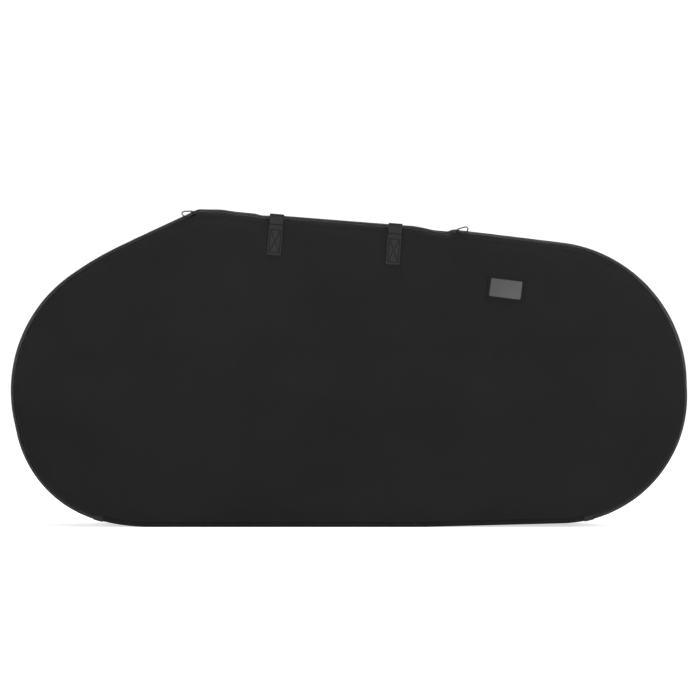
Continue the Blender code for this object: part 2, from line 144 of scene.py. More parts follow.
# Folds of the wall's cloth, and the share of them that is left where the front handle lies on top
wall_crown = 0.0008
wall_slack = 0.0016
wall_slack_run = 0.17
wall_pucker = 0.0008
wall_pucker_run = 0.026
wall_pucker_reach = 0.016
wall_end_run = 0.03
pressed_share = 0.05
pressed_depth = 0.035

# Zip: it lies on the bevel between the front panel and the gusset, and each slider stands a little
# past a bend of the outline. The tape's thread is given as across and out, and a tooth's bevel as a
# share of its size
zip_inset = edge_round / 2
zip_y = -seam_y + zip_inset
zip_end_height = 0.022
left_slider_back = 0.0085
right_slider_on = 0.022
zip_parting = 0.006
tape = 0.0008
tape_edge = 0.0012
tape_bend = 0.0042
tape_step = 0.0008
tape_reach = 0.0079
tape_seam_reach = 0.0064
tape_dip = 0.0028
tape_tuck = 0.0010
tape_thread = {"front": (0.0057, -0.0024), "rear": (0.0066, 0.0002)}
tooth_pitch = 0.0020
tooth_length = 0.0013
tooth_height = 0.0030
tooth_bevel = 0.24
tooth_root = 0.0046
tooth_tip_open = 0.0012
tooth_tip_closed = -0.0008
tooth_slant = 0.0005
end_tab_length = 0.026
end_tab = 0.0015
slider_clearance = 0.0004
slider_plate = 0.0011
slider_bevel = 0.00035
crown_gap = 0.0005
pull_wire = 0.0023
wire_seen = 0.0031
wire_points = 72
pull_length = 0.028
pull_half_width = 0.0098
pull_neck = 0.0054
pull_shoulder = 0.012
pull_lift = math.radians(20.0)

# Webbing
webbing_width = 0.036
webbing = 0.0025
strap_edge_share = 0.38
groove_width = 0.0017
groove_depth = 0.0013
handle_along = 0.3585
handle_spread = 0.307
handle_reach = 0.125
handle_bend = 0.050
anchor_length = 0.104
anchor_top = 0.00155
anchor_back = 0.0028
anchor_step = 0.0007
anchor_hem = 0.0004
stitch_line_drop = 0.026
box_top_drop = 0.040
box_foot_drop = 0.100
box_half = 0.0135
tie_width = 0.025
tie_length = 0.340
tie_x = (-0.455, 0.0, 0.420)
tie_z = 0.35346
tie_strap = 0.0015
tie_wave = 0.003
tie_wave_turn = 38.0
tie_patch = 0.0012
tie_patch_side = 0.045

# Flat cloth round the handles: at the back under the loop, in front round each sewn end
loop_margin = 0.030
loop_drop = 0.050
loop_fade = 0.09
end_margin = 0.022
end_fade = 0.04
end_drop = 0.045
end_drop_fade = 0.05

# Card window
window_x = 0.4025
window_z = 0.615678
window_tilt = math.radians(7.0)
window_film_thickness = 0.0005
window_frame_thickness = 0.0010
window_width = 0.083
window_height = 0.048
window_border = 0.006
window_corner = 0.0030
window_overlap = 0.003
film_bulge = 0.0009
border_points = 96

# Stitches
stitch = 0.0032
stitch_pitch = 0.0044
stitch_rows = 0.0013
thread = 0.00048
thread_spread = 1.15
tack_stitch = 0.0028
tack_pitch = 0.0022
tack_rows = 0.0007

# Studio: the ground and the sky look brighter than the light that they cast
floor_radius = 40.0
floor_cast = 0.36
floor_seen = 1.0
floor_glow = {"From Min": 0.9, "From Max": 3.5, "To Min": 0.66, "To Max": 0.90}
sky_cast = 0.20
sky_seen = 1.05
lights = {
    "right_softbox": ((3.6, -3.0, 1.8), 2.0, 145.0),
    "left_softbox": ((-3.6, -3.0, 1.6), 2.0, 100.0),
    "overhead": ((-0.2, -0.6, 3.6), 2.2, 85.0),
    "back_softbox": ((1.5, 4.5, 2.4), 2.5, 110.0),
}
light_aim = Vector((0.0, 0.0, 0.4))

# Camera
photo_width = 1.8054
camera_x = 0.001
camera_distance = 6.5
camera_height = 0.458
sensor_width = 36.0

# How far apart the soft noise is taken for one seed and the next
seed_shift = Vector((3.7, 1.9, 5.3))

# Name, side and body of each panel, and of what is sewn on it or on the wall beside it
panels = (("front", -1.0, "lid"), ("back", 1.0, "shell"))
halves = (("front", -1.0, "lid"), ("rear", 1.0, "shell"))


class RoundedPath:
    """A path of straight runs and arcs through rounded corners, clockwise, measured by its length s."""

    def __init__(self, corners, radii, closed, names=()):
        self.corners = [np.array(c, float) for c in corners]
        self.radii = radii
        self.closed = closed
        self.runs = []
        self.straight = {}
        self.length = 0.0
        count = len(self.corners)
        trims = [self.trim(k) for k in range(count)]
        for k in range(count if closed else count - 1):
            side = np.linalg.norm(self.corners[(k + 1) % count] - self.corners[k])
            over = max(1.0, (trims[k] + trims[(k + 1) % count]) / side)
            trims[k] /= over
            trims[(k + 1) % count] /= over
        for k in range(count):
            self.add_corner(k, trims)
            if names:
                low = self.runs[-1][0]
                self.straight[names[k]] = (low, self.length)

    def sides(self, k):
        before = self.corners[k] - self.corners[k - 1]
        after = self.corners[(k + 1) % len(self.corners)] - self.corners[k]
        return before, after

    def trim(self, k):
        if not self.closed and k in (0, len(self.corners) - 1):
            return 0.0
        before, after = self.sides(k)
        long_before = np.linalg.norm(before)
        long_after = np.linalg.norm(after)
        angle = math.acos(before @ after / long_before / long_after)
        most = min(long_before, long_after) * most_trim_share
        return min(self.radii[k] * math.tan(angle / 2), most)

    def add_corner(self, k, trims):
        """The arc at a corner, then the straight run that leaves it."""
        before, after = self.sides(k)
        into = before / np.linalg.norm(before)
        away = after / np.linalg.norm(after)
        if trims[k] > 0.0:
            angle = math.acos(max(-1.0, min(1.0, into @ away)))
            radius = trims[k] / math.tan(angle / 2)
            outward = np.array((-into[1], into[0]))
            centre = self.corners[k] - into * trims[k] - outward * radius
            self.add_run(radius * angle, centre, outward, radius)
        if self.closed or k < len(self.corners) - 1:
            start = self.corners[k] + away * trims[k]
            length = np.linalg.norm(after) - trims[k] - trims[(k + 1) % len(trims)]
            self.add_run(length, start, away, 0.0)

    def add_run(self, length, start, direction, radius):
        self.runs.append((self.length, self.length + length, start, direction, radius))
        self.length += length

    def at(self, s, depth=None):
        """Points and outward directions at the lengths s, with the cloth's drape at a depth added."""
        s = np.atleast_1d(np.asarray(s, float))
        s = np.mod(s, self.length) if self.closed else s
        points = np.zeros((len(s), 2))
        outward = np.zeros((len(s), 2))
        last = len(self.runs) - 1
        for k, (low, high, start, direction, radius) in enumerate(self.runs):
            inside = (s >= low if k else s > -np.inf) & (s < high if k < last else s < np.inf)
            if radius:
                angle = -(s[inside] - low) / radius
                cos, sin = np.cos(angle), np.sin(angle)
                turned = np.column_stack(
                    (direction[0] * cos - direction[1] * sin, direction[0] * sin + direction[1] * cos)
                )
                outward[inside] = turned
                points[inside] = start + turned * radius
            else:
                points[inside] = start + direction * (s[inside] - low)[:, None]
                outward[inside] = (-direction[1], direction[0])
        if depth is not None:
            points += outward * mouth_drape(s, depth)[:, None]
        return points, outward

    def at_height(self, height, low, high):
        """The first s from low to high where the path passes a height."""
        steps = np.linspace(low, high, 20001)
        level = self.at(steps)[0][:, 1] - height
        return steps[np.flatnonzero(np.sign(level[1:]) != np.sign(level[:-1]))[0]]


outline = RoundedPath(
    [(x * bag_length, z * bag_height) for x, z, _ in outline_shares.values()],
    [r * bag_height for _, _, r in outline_shares.values()],
    True,
    list(outline_shares),
)
flat_start = outline.straight["base_right"][0] - outline.length
zip_start = outline.at_height(zip_end_height, 0.0, outline.straight["end_left"][0])
zip_stop = outline.at_height(
    zip_end_height, outline.straight["shoulder_right"][0], outline.straight["base_right"][0]
)
left_split = outline.straight["slope_left"][0]
right_split = outline.straight["saddle"][1]
mouth_start = outline.straight["slope_left"][1] - left_slider_back
mouth_stop = outline.straight["saddle"][0] + right_slider_on
joints = {joint["name"]: joint for joint in frame["joints"]}


def eased(t):
    """A smooth step from 0 to 1 as t goes from 0 to 1."""
    t = np.clip(t, 0.0, 1.0)
    return t * t * (3.0 - 2.0 * t)


def mouth_drape(s, depth):
    """Where the zip is undone, the front edge bulges past the left slider and sags before the right one."""
    near_front = np.clip((half_depth - depth) / (2 * half_depth), 0.0, 1.0)
    past_left = s - mouth_start
    before_right = mouth_stop - s
    bulge = mouth_bulge * np.exp(-(((past_left - bulge_from_left) / bulge_run) ** 2))
    dip = mouth_dip * np.exp(-(((past_left - dip_from_left) / dip_run) ** 2))
    sag = mouth_sag * eased((sag_from_right - before_right) / sag_run)
    sag = sag * eased((before_right - sag_stop) / sag_stop_run)
    return (bulge - dip - sag) * near_front


# Small helpers for modelling


def deselect():
    for obj in list(bpy.context.selected_objects):
        obj.select_set(False)


def pick(obj):
    """Makes one object the selected and active one."""
    deselect()
    obj.select_set(True)
    bpy.context.view_layer.objects.active = obj


def named(name):
    """The primitive just added, under its piece's name."""
    obj = bpy.context.object
    obj.name = name
    obj.data.name = name
    return obj


def points_of(obj):
    co = np.empty(len(obj.data.vertices) * 3)
    obj.data.vertices.foreach_get("co", co)
    return co.reshape(-1, 3)


def move_points(obj, co):
    obj.data.vertices.foreach_set("co", np.ascontiguousarray(co, float).ravel())
    obj.data.update()


def placed(matrix, *columns):
    """Points given by their columns in a piece's own frame, moved to where that frame lies."""
    return np.array([matrix @ Vector(place) for place in zip(*columns)])


def new_grid(name, columns, rows):
    """A flat grid with sides from -0.5 to 0.5."""
    deselect()
    bpy.ops.mesh.primitive_grid_add(x_subdivisions=columns, y_subdivisions=rows, size=1.0)
    return named(name)


def new_ring(name, points):
    """A closed ring of edges through points."""
    deselect()
    bpy.ops.mesh.primitive_circle_add(vertices=len(points), radius=1.0)
    obj = named(name)
    move_points(obj, points)
    return obj


def extrude_rings(obj, rings):
    """Extrudes a ring from each place to the next, and stays in edit mode with the last one selected."""
    pick(obj)
    bpy.ops.object.mode_set(mode="EDIT")
    bpy.ops.mesh.select_all(action="SELECT")
    for old, new in zip(rings, rings[1:]):
        bpy.ops.mesh.extrude_edges_move()
        mesh = bmesh.from_edit_mesh(obj.data)
        for vertex in [v for v in mesh.verts if v.select]:
            vertex.co = new[np.linalg.norm(old - np.array(vertex.co), axis=1).argmin()]
        bmesh.update_edit_mesh(obj.data)
    return bmesh.from_edit_mesh(obj.data)


def put_in_order(obj):
    """Sorts edges and faces by their vertices, because extruding leaves them in any order."""
    mesh = bmesh.new()
    mesh.from_mesh(obj.data)
    count = len(mesh.verts)

    def place(item):
        corners = sorted(v.index for v in item.verts)
        return (corners[0] * count + corners[1]) * count + corners[-1]

    mesh.edges.sort(key=place)
    mesh.faces.sort(key=place)
    mesh.to_mesh(obj.data)
    mesh.free()


def apply_modifiers(obj):
    pick(obj)
    for modifier in list(obj.modifiers):
        bpy.ops.object.modifier_apply(modifier=modifier.name)


def edit(obj, *steps):
    """Runs edit-mode steps on the whole of one object."""
    pick(obj)
    bpy.ops.object.mode_set(mode="EDIT")
    bpy.ops.mesh.select_all(action="SELECT")
    for step in steps:
        step()
    bpy.ops.object.mode_set(mode="OBJECT")


def smooth(obj, angle=35.0):
    pick(obj)
    bpy.ops.object.shade_smooth_by_angle(angle=math.radians(angle))


def round_edges(obj, width, segments, angle=50.0):
    """Rounds the edges that turn by more than an angle."""
    soft = obj.modifiers.new("Edges", "BEVEL")
    soft.width = width
    soft.segments = segments
    soft.limit_method = "ANGLE"
    soft.angle_limit = math.radians(angle)
    apply_modifiers(obj)


def repeated(obj, count):
    """Copies a small shape, and gives the points of its copies, all where the first one is."""
    spacing = 4.0
    copies = obj.modifiers.new("Copies", "ARRAY")
    copies.use_relative_offset = False
    copies.use_constant_offset = True
    copies.constant_offset_displace = (spacing, 0.0, 0.0)
    copies.count = count
    apply_modifiers(obj)
    co = points_of(obj).reshape(count, -1, 3)
    co[:, :, 0] -= spacing * np.arange(count)[:, None]
    return co


def write_uv(obj, uv):
    """Gives each vertex its place on the cloth in metres."""
    layer = obj.data.uv_layers.active or obj.data.uv_layers.new(name="cloth")
    loops = np.empty(len(obj.data.loops), int)
    obj.data.loops.foreach_get("vertex_index", loops)
    layer.data.foreach_set("uv", np.ascontiguousarray(uv[loops], float).ravel())


def bend_on_outline(obj):
    """Bends a piece laid out flat (x along the outline, y as depth, z outwards) round the bag."""
    co = points_of(obj)
    points, outward = outline.at(co[:, 0], co[:, 1])
    moved = points + outward * co[:, 2:3]
    move_points(obj, np.column_stack((moved[:, 0], co[:, 1], moved[:, 1])))


def ripple(x, y, size, seed):
    """Soft noise from -1 to 1 at places x, y, with folds about as long as size."""
    shift = seed_shift * seed
    return np.array(
        [noise.noise(Vector((a / size, b / size, 0.0)) + shift) for a, b in zip(x, y)]
    )


def ripple_along(x, size, seed):
    """Soft noise that changes along x alone."""
    return ripple(x, np.zeros(len(x)), size, seed)


def finish(obj, body, material, slot, *nodes):
    """Material and body of a finished piece, and hides the nodes that it stands for; the slot argument is
    not used.
    """
    obj.data.materials.clear()
    obj.data.materials.append(material)
    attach(obj, body)
    if nodes:
        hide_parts(*nodes)
    return obj


def nearest_edge(x, z, depth):
    """How far points of the side view lie inside the outline, and the length s of the edge beside them."""
    steps = np.linspace(0.0, outline.length, edge_samples, endpoint=False)
    edge = outline.at(steps, depth)[0]
    found = np.empty(len(x))
    beside = np.empty(len(x))
    for low in range(0, len(x), 2000):
        part = slice(low, low + 2000)
        away = np.hypot(x[part, None] - edge[:, 0], z[part, None] - edge[:, 1])
        found[part] = away.min(axis=1)
        beside[part] = steps[away.argmin(axis=1)]
    return found, beside


# Materials


def group_sockets(group, inputs, outputs):
    for name, kind in inputs:
        group.interface.new_socket(name=name, in_out="INPUT", socket_type=kind)
    for name, kind in outputs:
        group.interface.new_socket(name=name, in_out="OUTPUT", socket_type=kind)
    return group.nodes.new("NodeGroupInput"), group.nodes.new("NodeGroupOutput")


def maths(tree, operation, a, b=None):
    """A Math node whose inputs are sockets or numbers."""
    node = tree.nodes.new("ShaderNodeMath")
    node.operation = operation
    for socket, value in zip(node.inputs, (a, b)):
        if isinstance(value, (int, float)):
            socket.default_value = value
        elif value is not None:
            tree.links.new(value, socket)
    return node.outputs[0]


def weave_group():
    """Plain weave: warp threads over weft threads, in a chequer of raised loops."""
    group = bpy.data.node_groups.new("plain_weave", "ShaderNodeTree")
    inputs, outputs = group_sockets(
        group,
        [("Place", "NodeSocketVector"), ("Thread", "NodeSocketFloat")],
        [("Height", "NodeSocketFloat"), ("Slub", "NodeSocketFloat")],
    )
    split = group.nodes.new("ShaderNodeSeparateXYZ")
    group.links.new(inputs.outputs["Place"], split.inputs[0])
    waves = []
    cells = []
    for axis in (0, 1):
        count = maths(group, "DIVIDE", split.outputs[axis], inputs.outputs["Thread"])
        wave = maths(group, "SINE", maths(group, "MULTIPLY", count, math.pi))
        waves.append(maths(group, "ABSOLUTE", wave))
        cells.append(maths(group, "FLOOR", count))
    odd = maths(group, "PINGPONG", maths(group, "ADD", *cells), 1.0)
    warp = maths(group, "MULTIPLY", waves[0], odd)
    weft = maths(group, "MULTIPLY", waves[1], maths(group, "SUBTRACT", 1.0, odd))
    group.links.new(maths(group, "ADD", warp, weft), outputs.inputs["Height"])
    slub = group.nodes.new("ShaderNodeTexNoise")
    slub.inputs["Scale"].default_value = 240.0
    slub.inputs["Detail"].default_value = 2.0
    stretch = group.nodes.new("ShaderNodeMapping")
    stretch.inputs["Scale"].default_value = (0.15, 1.0, 1.0)
    group.links.new(inputs.outputs["Place"], stretch.inputs[0])
    group.links.new(stretch.outputs[0], slub.inputs["Vector"])
    group.links.new(slub.outputs["Fac"], outputs.inputs["Slub"])
    return group


def rib_group():
    """Webbing or grosgrain: raised ribs along the strap, crossed by a slanting weave."""
    group = bpy.data.node_groups.new("ribbed_webbing", "ShaderNodeTree")
    inputs, outputs = group_sockets(
        group,
        [("Place", "NodeSocketVector"), ("Rib", "NodeSocketFloat"), ("Pick", "NodeSocketFloat")],
        [("Height", "NodeSocketFloat")],
    )
    split = group.nodes.new("ShaderNodeSeparateXYZ")
    group.links.new(inputs.outputs["Place"], split.inputs[0])
    across = maths(group, "DIVIDE", split.outputs[1], inputs.outputs["Rib"])
    rib = maths(group, "ABSOLUTE", maths(group, "SINE", maths(group, "MULTIPLY", across, math.pi)))
    zigzag = maths(group, "PINGPONG", across, 1.0)
    along = maths(group, "DIVIDE", split.outputs[0], inputs.outputs["Pick"])
    slant = maths(group, "ADD", along, zigzag)
    pick_wave = maths(group, "SINE", maths(group, "MULTIPLY", slant, 2.0 * math.pi))
    fine = maths(group, "MULTIPLY", pick_wave, 0.35)
    group.links.new(maths(group, "ADD", rib, fine), outputs.inputs["Height"])
    return group


def wear_group():
    """Broad uneven patches and fine lint, both from 0 to 1."""
    group = bpy.data.node_groups.new("uneven_finish", "ShaderNodeTree")
    inputs, outputs = group_sockets(
        group,
        [("Place", "NodeSocketVector")],
        [("Patches", "NodeSocketFloat"), ("Lint", "NodeSocketFloat")],
    )
    for name, scale, detail in (("Patches", 5.0, 4.0), ("Lint", 900.0, 1.0)):
        texture = group.nodes.new("ShaderNodeTexNoise")
        texture.inputs["Scale"].default_value = scale
        texture.inputs["Detail"].default_value = detail
        group.links.new(inputs.outputs["Place"], texture.inputs["Vector"])
        group.links.new(texture.outputs["Fac"], outputs.inputs[name])
    return group


weave = weave_group()
rib = rib_group()
wear = wear_group()


def new_material(name, roughness, **constants):
    """A Principled material with its constant values, its tree and its shader."""
    made = bpy.data.materials.new(name)
    made.use_nodes = True
    shader = made.node_tree.nodes["Principled BSDF"]
    shader.inputs["Roughness"].default_value = roughness
    for socket, value in constants.items():
        shader.inputs[socket.replace("_", " ")].default_value = value
    return made, made.node_tree, shader


def place_group(tree, group, place, **values):
    node = tree.nodes.new("ShaderNodeGroup")
    node.node_tree = group
    tree.links.new(place, node.inputs["Place"])
    for name, value in values.items():
        node.inputs[name].default_value = value
    return node


def tint(tree, factor, dark, light, low=0.3, high=0.7):
    """A colour between two greys, by a factor."""
    ramp = tree.nodes.new("ShaderNodeValToRGB")
    ramp.color_ramp.elements[0].position = low
    ramp.color_ramp.elements[1].position = high
    ramp.color_ramp.elements[0].color = (*dark, 1.0)
    ramp.color_ramp.elements[1].color = (*light, 1.0)
    tree.links.new(factor, ramp.inputs[0])
    return ramp.outputs[0]


def bump(tree, shader, height, distance):
    node = tree.nodes.new("ShaderNodeBump")
    node.inputs["Distance"].default_value = distance
    node.inputs["Strength"].default_value = 1.0
    tree.links.new(height, node.inputs["Height"])
    tree.links.new(node.outputs[0], shader.inputs["Normal"])


def places(tree):
    node = tree.nodes.new("ShaderNodeTexCoord")
    return node.outputs["Object"], node.outputs["UV"]


def woven_material(name, dark, light, thread_size, depth, roughness, **constants):
    """Plain-woven cloth: thread relief and slubs from the weave, colour from uneven patches and from the
    weave's height, which paints highlight on the raised threads and shade in the hollows between them.
    """
    made, tree, shader = new_material(name, roughness, **constants)
    solid, flat = places(tree)
    cloth_weave = place_group(tree, weave, flat, Thread=thread_size)
    uneven = place_group(tree, wear, solid)
    # painted shade and highlight: the weave's height makes the colour lighter on raised threads and darker
    # in the hollows between them
    lifted = maths(tree, "MULTIPLY", cloth_weave.outputs["Height"], 0.35)
    worn = maths(tree, "MULTIPLY", uneven.outputs["Patches"], 0.65)
    factor = maths(tree, "ADD", lifted, worn)
    tree.links.new(tint(tree, factor, dark, light, 0.2, 0.8), shader.inputs["Base Color"])
    slub = maths(tree, "MULTIPLY", cloth_weave.outputs["Slub"], 0.5)
    bump(tree, shader, maths(tree, "ADD", cloth_weave.outputs["Height"], slub), depth)
    spread = maths(tree, "MULTIPLY", uneven.outputs["Patches"], 0.16)
    tree.links.new(maths(tree, "ADD", spread, roughness - 0.08), shader.inputs["Roughness"])
    return made


def ribbed_material(name, dark, light, rib_size, pick_size, depth, roughness, **constants):
    """Webbing, binding or zip tape: ribs along the strap with a slanting weave; colour from uneven patches
    and from the rib height, which paints highlight on the ribs and shade in the grooves between them.
    """
    made, tree, shader = new_material(name, roughness, **constants)
    solid, flat = places(tree)
    ribs = place_group(tree, rib, flat, Rib=rib_size, Pick=pick_size)
    uneven = place_group(tree, wear, solid)
    # painted shade and highlight: the rib height makes the colour lighter on the ribs and darker in the
    # grooves between them
    raised = maths(tree, "MULTIPLY", ribs.outputs["Height"], 0.6)
    factor = maths(tree, "ADD", raised, maths(tree, "MULTIPLY", uneven.outputs["Patches"], 0.4))
    tree.links.new(tint(tree, factor, dark, light), shader.inputs["Base Color"])
    bump(tree, shader, ribs.outputs["Height"], depth)
    return made


def grained_material(name, dark, light, scale, depth, roughness, **constants):
    """Foam, moulded plastic or plated metal: fine grain with uneven patches."""
    made, tree, shader = new_material(name, roughness, **constants)
    solid, _ = places(tree)
    grain = tree.nodes.new("ShaderNodeTexNoise")
    grain.inputs["Scale"].default_value = scale
    grain.inputs["Detail"].default_value = 3.0
    tree.links.new(solid, grain.inputs["Vector"])
    uneven = place_group(tree, wear, solid)
    tree.links.new(tint(tree, uneven.outputs["Patches"], dark, light), shader.inputs["Base Color"])
    bump(tree, shader, grain.outputs["Fac"], depth)
    rough = maths(tree, "MULTIPLY", grain.outputs["Fac"], 0.20)
    tree.links.new(maths(tree, "ADD", rough, roughness - 0.10), shader.inputs["Roughness"])
    return made


def grey(value):
    return (value, value, value * 1.03)


outer_cloth = woven_material(
    "black_oxford_cloth", grey(0.0034), grey(0.0110), 0.00080, 0.00022, 0.74,
    Specular_IOR_Level=0.13, Sheen_Weight=0.02, Sheen_Roughness=0.4,
)
inner_cloth = woven_material(
    "grey_lining_cloth", grey(0.040), grey(0.056), 0.00045, 0.00006, 0.62,
    Specular_IOR_Level=0.35, Sheen_Weight=0.08,
)
strap_webbing = ribbed_material(
    "black_webbing", grey(0.0035), grey(0.018), 0.0022, 0.0026, 0.00040, 0.68,
    Specular_IOR_Level=0.22, Sheen_Weight=0.08,
)
seam_tape = ribbed_material(
    "seam_binding", grey(0.012), grey(0.020), 0.0016, 0.0020, 0.00018, 0.72,
    Specular_IOR_Level=0.28,
)
zip_webbing = ribbed_material(
    "zip_tape_weave", grey(0.012), grey(0.022), 0.0012, 0.0016, 0.00015, 0.66,
    Specular_IOR_Level=0.32, Sheen_Weight=0.15,
)
coil_nylon = grained_material(
    "nylon_coil", grey(0.020), grey(0.034), 900.0, 0.00003, 0.36, Specular_IOR_Level=0.5
)
sewing_thread = grained_material(
    "sewing_thread", grey(0.003), grey(0.006), 2500.0, 0.00005, 0.60, Specular_IOR_Level=0.2
)
foam = grained_material(
    "closed_cell_foam", grey(0.30), grey(0.38), 1200.0, 0.00020, 0.92, Specular_IOR_Level=0.2
)
dark_plating = grained_material(
    "dark_plated_metal", grey(0.006), grey(0.014), 1400.0, 0.00001, 0.38, Metallic=0.5
)
board_plastic = grained_material(
    "stiff_board_plastic", grey(0.10), grey(0.13), 700.0, 0.00008, 0.55
)
window_film = grained_material(
    "clear_window_film", grey(0.055), grey(0.095), 40.0, 0.00030, 0.24,
    Coat_Weight=0.4, Coat_Roughness=0.10,
)


# Cloth strips and straps


def run_lengths(path):
    """Lengths along a line of points, from its start to each of them."""
    return np.r_[0.0, np.cumsum(np.linalg.norm(np.diff(path, axis=0), axis=1))]


def cloth_strip(name, start, stop, profile, step=0.008, across=0.006):
    """A grid laid along the outline from start to stop, its section running through (depth, out) points."""
    profile = np.array(profile, float)
    lengths = run_lengths(profile)
    obj = new_grid(name, max(2, round((stop - start) / step)), max(2, round(lengths[-1] / across)))
    co = points_of(obj)
    s = start + (co[:, 0] + 0.5) * (stop - start)
    t = (co[:, 1] + 0.5) * lengths[-1]
    depth = np.interp(t, lengths, profile[:, 0])
    out = np.interp(t, lengths, profile[:, 1])
    move_points(obj, np.column_stack((s, depth, out)))
    write_uv(obj, np.column_stack((s, t)))
    return obj


def thicken(obj, thickness, offset=-1.0, edge=0.0):
    """Gives a sheet its thickness and, where asked, soft edges."""
    solid = obj.modifiers.new("Thickness", "SOLIDIFY")
    solid.thickness = thickness
    solid.offset = offset
    apply_modifiers(obj)
    if edge:
        round_edges(obj, edge, 2)


def rest_on_floor(obj):
    """Flattens whatever folds below the floor."""
    co = points_of(obj)
    co[:, 2] = np.maximum(co[:, 2], 0.0)
    move_points(obj, co)


def wrap(obj, thickness, offset=-1.0, edge=0.0, angle=35.0):
    """Thickens a strip that is laid out flat, and bends it round the bag."""
    thicken(obj, thickness, offset, edge)
    bend_on_outline(obj)
    rest_on_floor(obj)
    smooth(obj, angle)


def wall_points(depth, rounded_front, front_edge=-wall_y, front_turn=1.0):
    """Section of the wall's skin, front to rear, at a depth under its outer face."""
    angles = np.linspace(0.0, math.pi / 2, 6)
    turn = edge_round - depth
    rear = [(wall_y + turn * math.sin(a), -edge_round + turn * math.cos(a)) for a in angles]
    if rounded_front:
        around = angles[::-1] * front_turn
        return [(-wall_y - turn * math.sin(a), -edge_round + turn * math.cos(a)) for a in around] + rear
    return [(front_edge, -depth)] + rear


def wall_folds(obj, seed, ends):
    """Lets the wall's cloth stand out between its seams, pucker beside them, and dip at a joined end."""
    co = points_of(obj)
    s, depth, out = co.T
    middle = np.clip(1.0 - (depth / wall_y) ** 2, 0.0, 1.0)
    lift = middle * (wall_crown + wall_slack * (1.0 + ripple(s, depth * 1.5, wall_slack_run, seed)))
    to_seam = np.abs(np.abs(depth) - wall_y + wall_pucker_reach)
    beside = np.clip(1.0 - to_seam / wall_pucker_reach, 0.0, 1.0)
    lift += wall_pucker * eased(beside) * (1.0 + ripple(s, depth * 0.3, wall_pucker_run, seed + 1))
    under_handle = np.abs(s - mouth_start - handle_along) < handle_spread / 2 + loop_margin
    lift[under_handle & (depth < pressed_depth)] *= pressed_share
    fade = eased(np.minimum(s - ends[0], ends[1] - s) / wall_end_run)
    move_points(obj, np.column_stack((s, depth, out + lift * fade)))


def gusset_cloth(label, start, stop, rounded_front, seed):
    """Outer cloth of one strip of the wall, from seam to seam."""
    ends = (start + gap / 2, stop - gap / 2)
    obj = cloth_strip(f"{label}_cloth", *ends, wall_points(0.0, rounded_front))
    if not label.startswith("base"):
        wall_folds(obj, seed, ends)
    wrap(obj, cloth, edge=cloth / 4)
    node = label.replace("corner", "corner_cover") if "corner" in label else f"{label}_cover"
    finish(obj, "shell", outer_cloth, "outer_cloth", node)


def wall_layer(name, ends, section, thickness, material, slot, node):
    """A layer under the wall's outer cloth."""
    obj = cloth_strip(name, *ends, section, 0.012, 0.010)
    wrap(obj, thickness)
    return finish(obj, "shell", material, slot, node)


def wall():
    """Cloth, padding and lining of every strip of the wall. The padding's front edge is set back."""
    right = zip_stop - outline.length
    covers = [
        ("base_corner_right", right, flat_start, True),
        ("base", flat_start, 0.0, True),
        ("base_corner_left", 0.0, zip_start, True),
        ("left_gusset", zip_start, left_split, False),
        ("top_gusset", left_split, right_split, False),
        ("right_gusset", right_split, zip_stop, False),
    ]
    for seed, cover in enumerate(covers, 1):
        gusset_cloth(*cover, seed)
    edge = -wall_y + inner_edge
    inside = [("base", right, zip_start, True), *covers[3:]]
    for label, start, stop, rounded in inside:
        ends = (start + gap / 2, stop - gap / 2)
        thickness = base_foam if rounded else gusset_foam
        top = lining_depth - gap - base_foam if rounded else cloth + gap
        section = wall_points(top, rounded, edge + foam_set_back, foam_turn)
        padding = wall_layer(
            f"{label}_padding", ends, section, thickness, foam, "padding_foam", f"{label}_foam"
        )
        section = wall_points(lining_depth, rounded, edge)
        sheet = wall_layer(
            f"{label}_inner_cloth", ends, section, lining, inner_cloth, "lining_cloth", f"{label}_lining"
        )


# Panels


def ring_on_panel(s, inset, y):
    """Points at the lengths s, moved in from the outline, on the face at y."""
    points, outward = outline.at(s, y)
    inner = points - outward * inset
    return np.column_stack((inner[:, 0], np.full(len(s), y), inner[:, 1]))


def panel_grid(name, facing, rows, spacing=0.012):
    """Cloth over a whole panel: rings follow its edge, and a grid of quads fills the middle."""
    first_corner, span = 0.06, 0.155
    count = 2 * round(outline.length / spacing / 2)
    s = first_corner * outline.length + np.arange(count) / count * outline.length
    rings = [ring_on_panel(s, *row) for row in rows]
    obj = new_ring(name, rings[0])
    mesh = extrude_rings(obj, rings)
    goal = Vector(rings[-1][0])
    corner = min((v for v in mesh.verts if v.select), key=lambda v: (v.co - goal).length)
    mesh.select_history.clear()
    mesh.select_history.add(corner)
    bmesh.update_edit_mesh(obj.data)
    bpy.ops.mesh.fill_grid(span=round(count * span), offset=0)
    bpy.ops.mesh.select_less()
    bpy.ops.mesh.vertices_smooth(factor=0.5, repeat=30)
    bpy.ops.mesh.select_all(action="SELECT")
    bpy.ops.mesh.normals_make_consistent(inside=False)
    bpy.ops.object.mode_set(mode="OBJECT")
    put_in_order(obj)
    if sum(p.normal.y * p.area for p in obj.data.polygons) * facing < 0.0:
        edit(obj, bpy.ops.mesh.flip_normals)
    write_uv(obj, points_of(obj)[:, (0, 2)])
    return obj


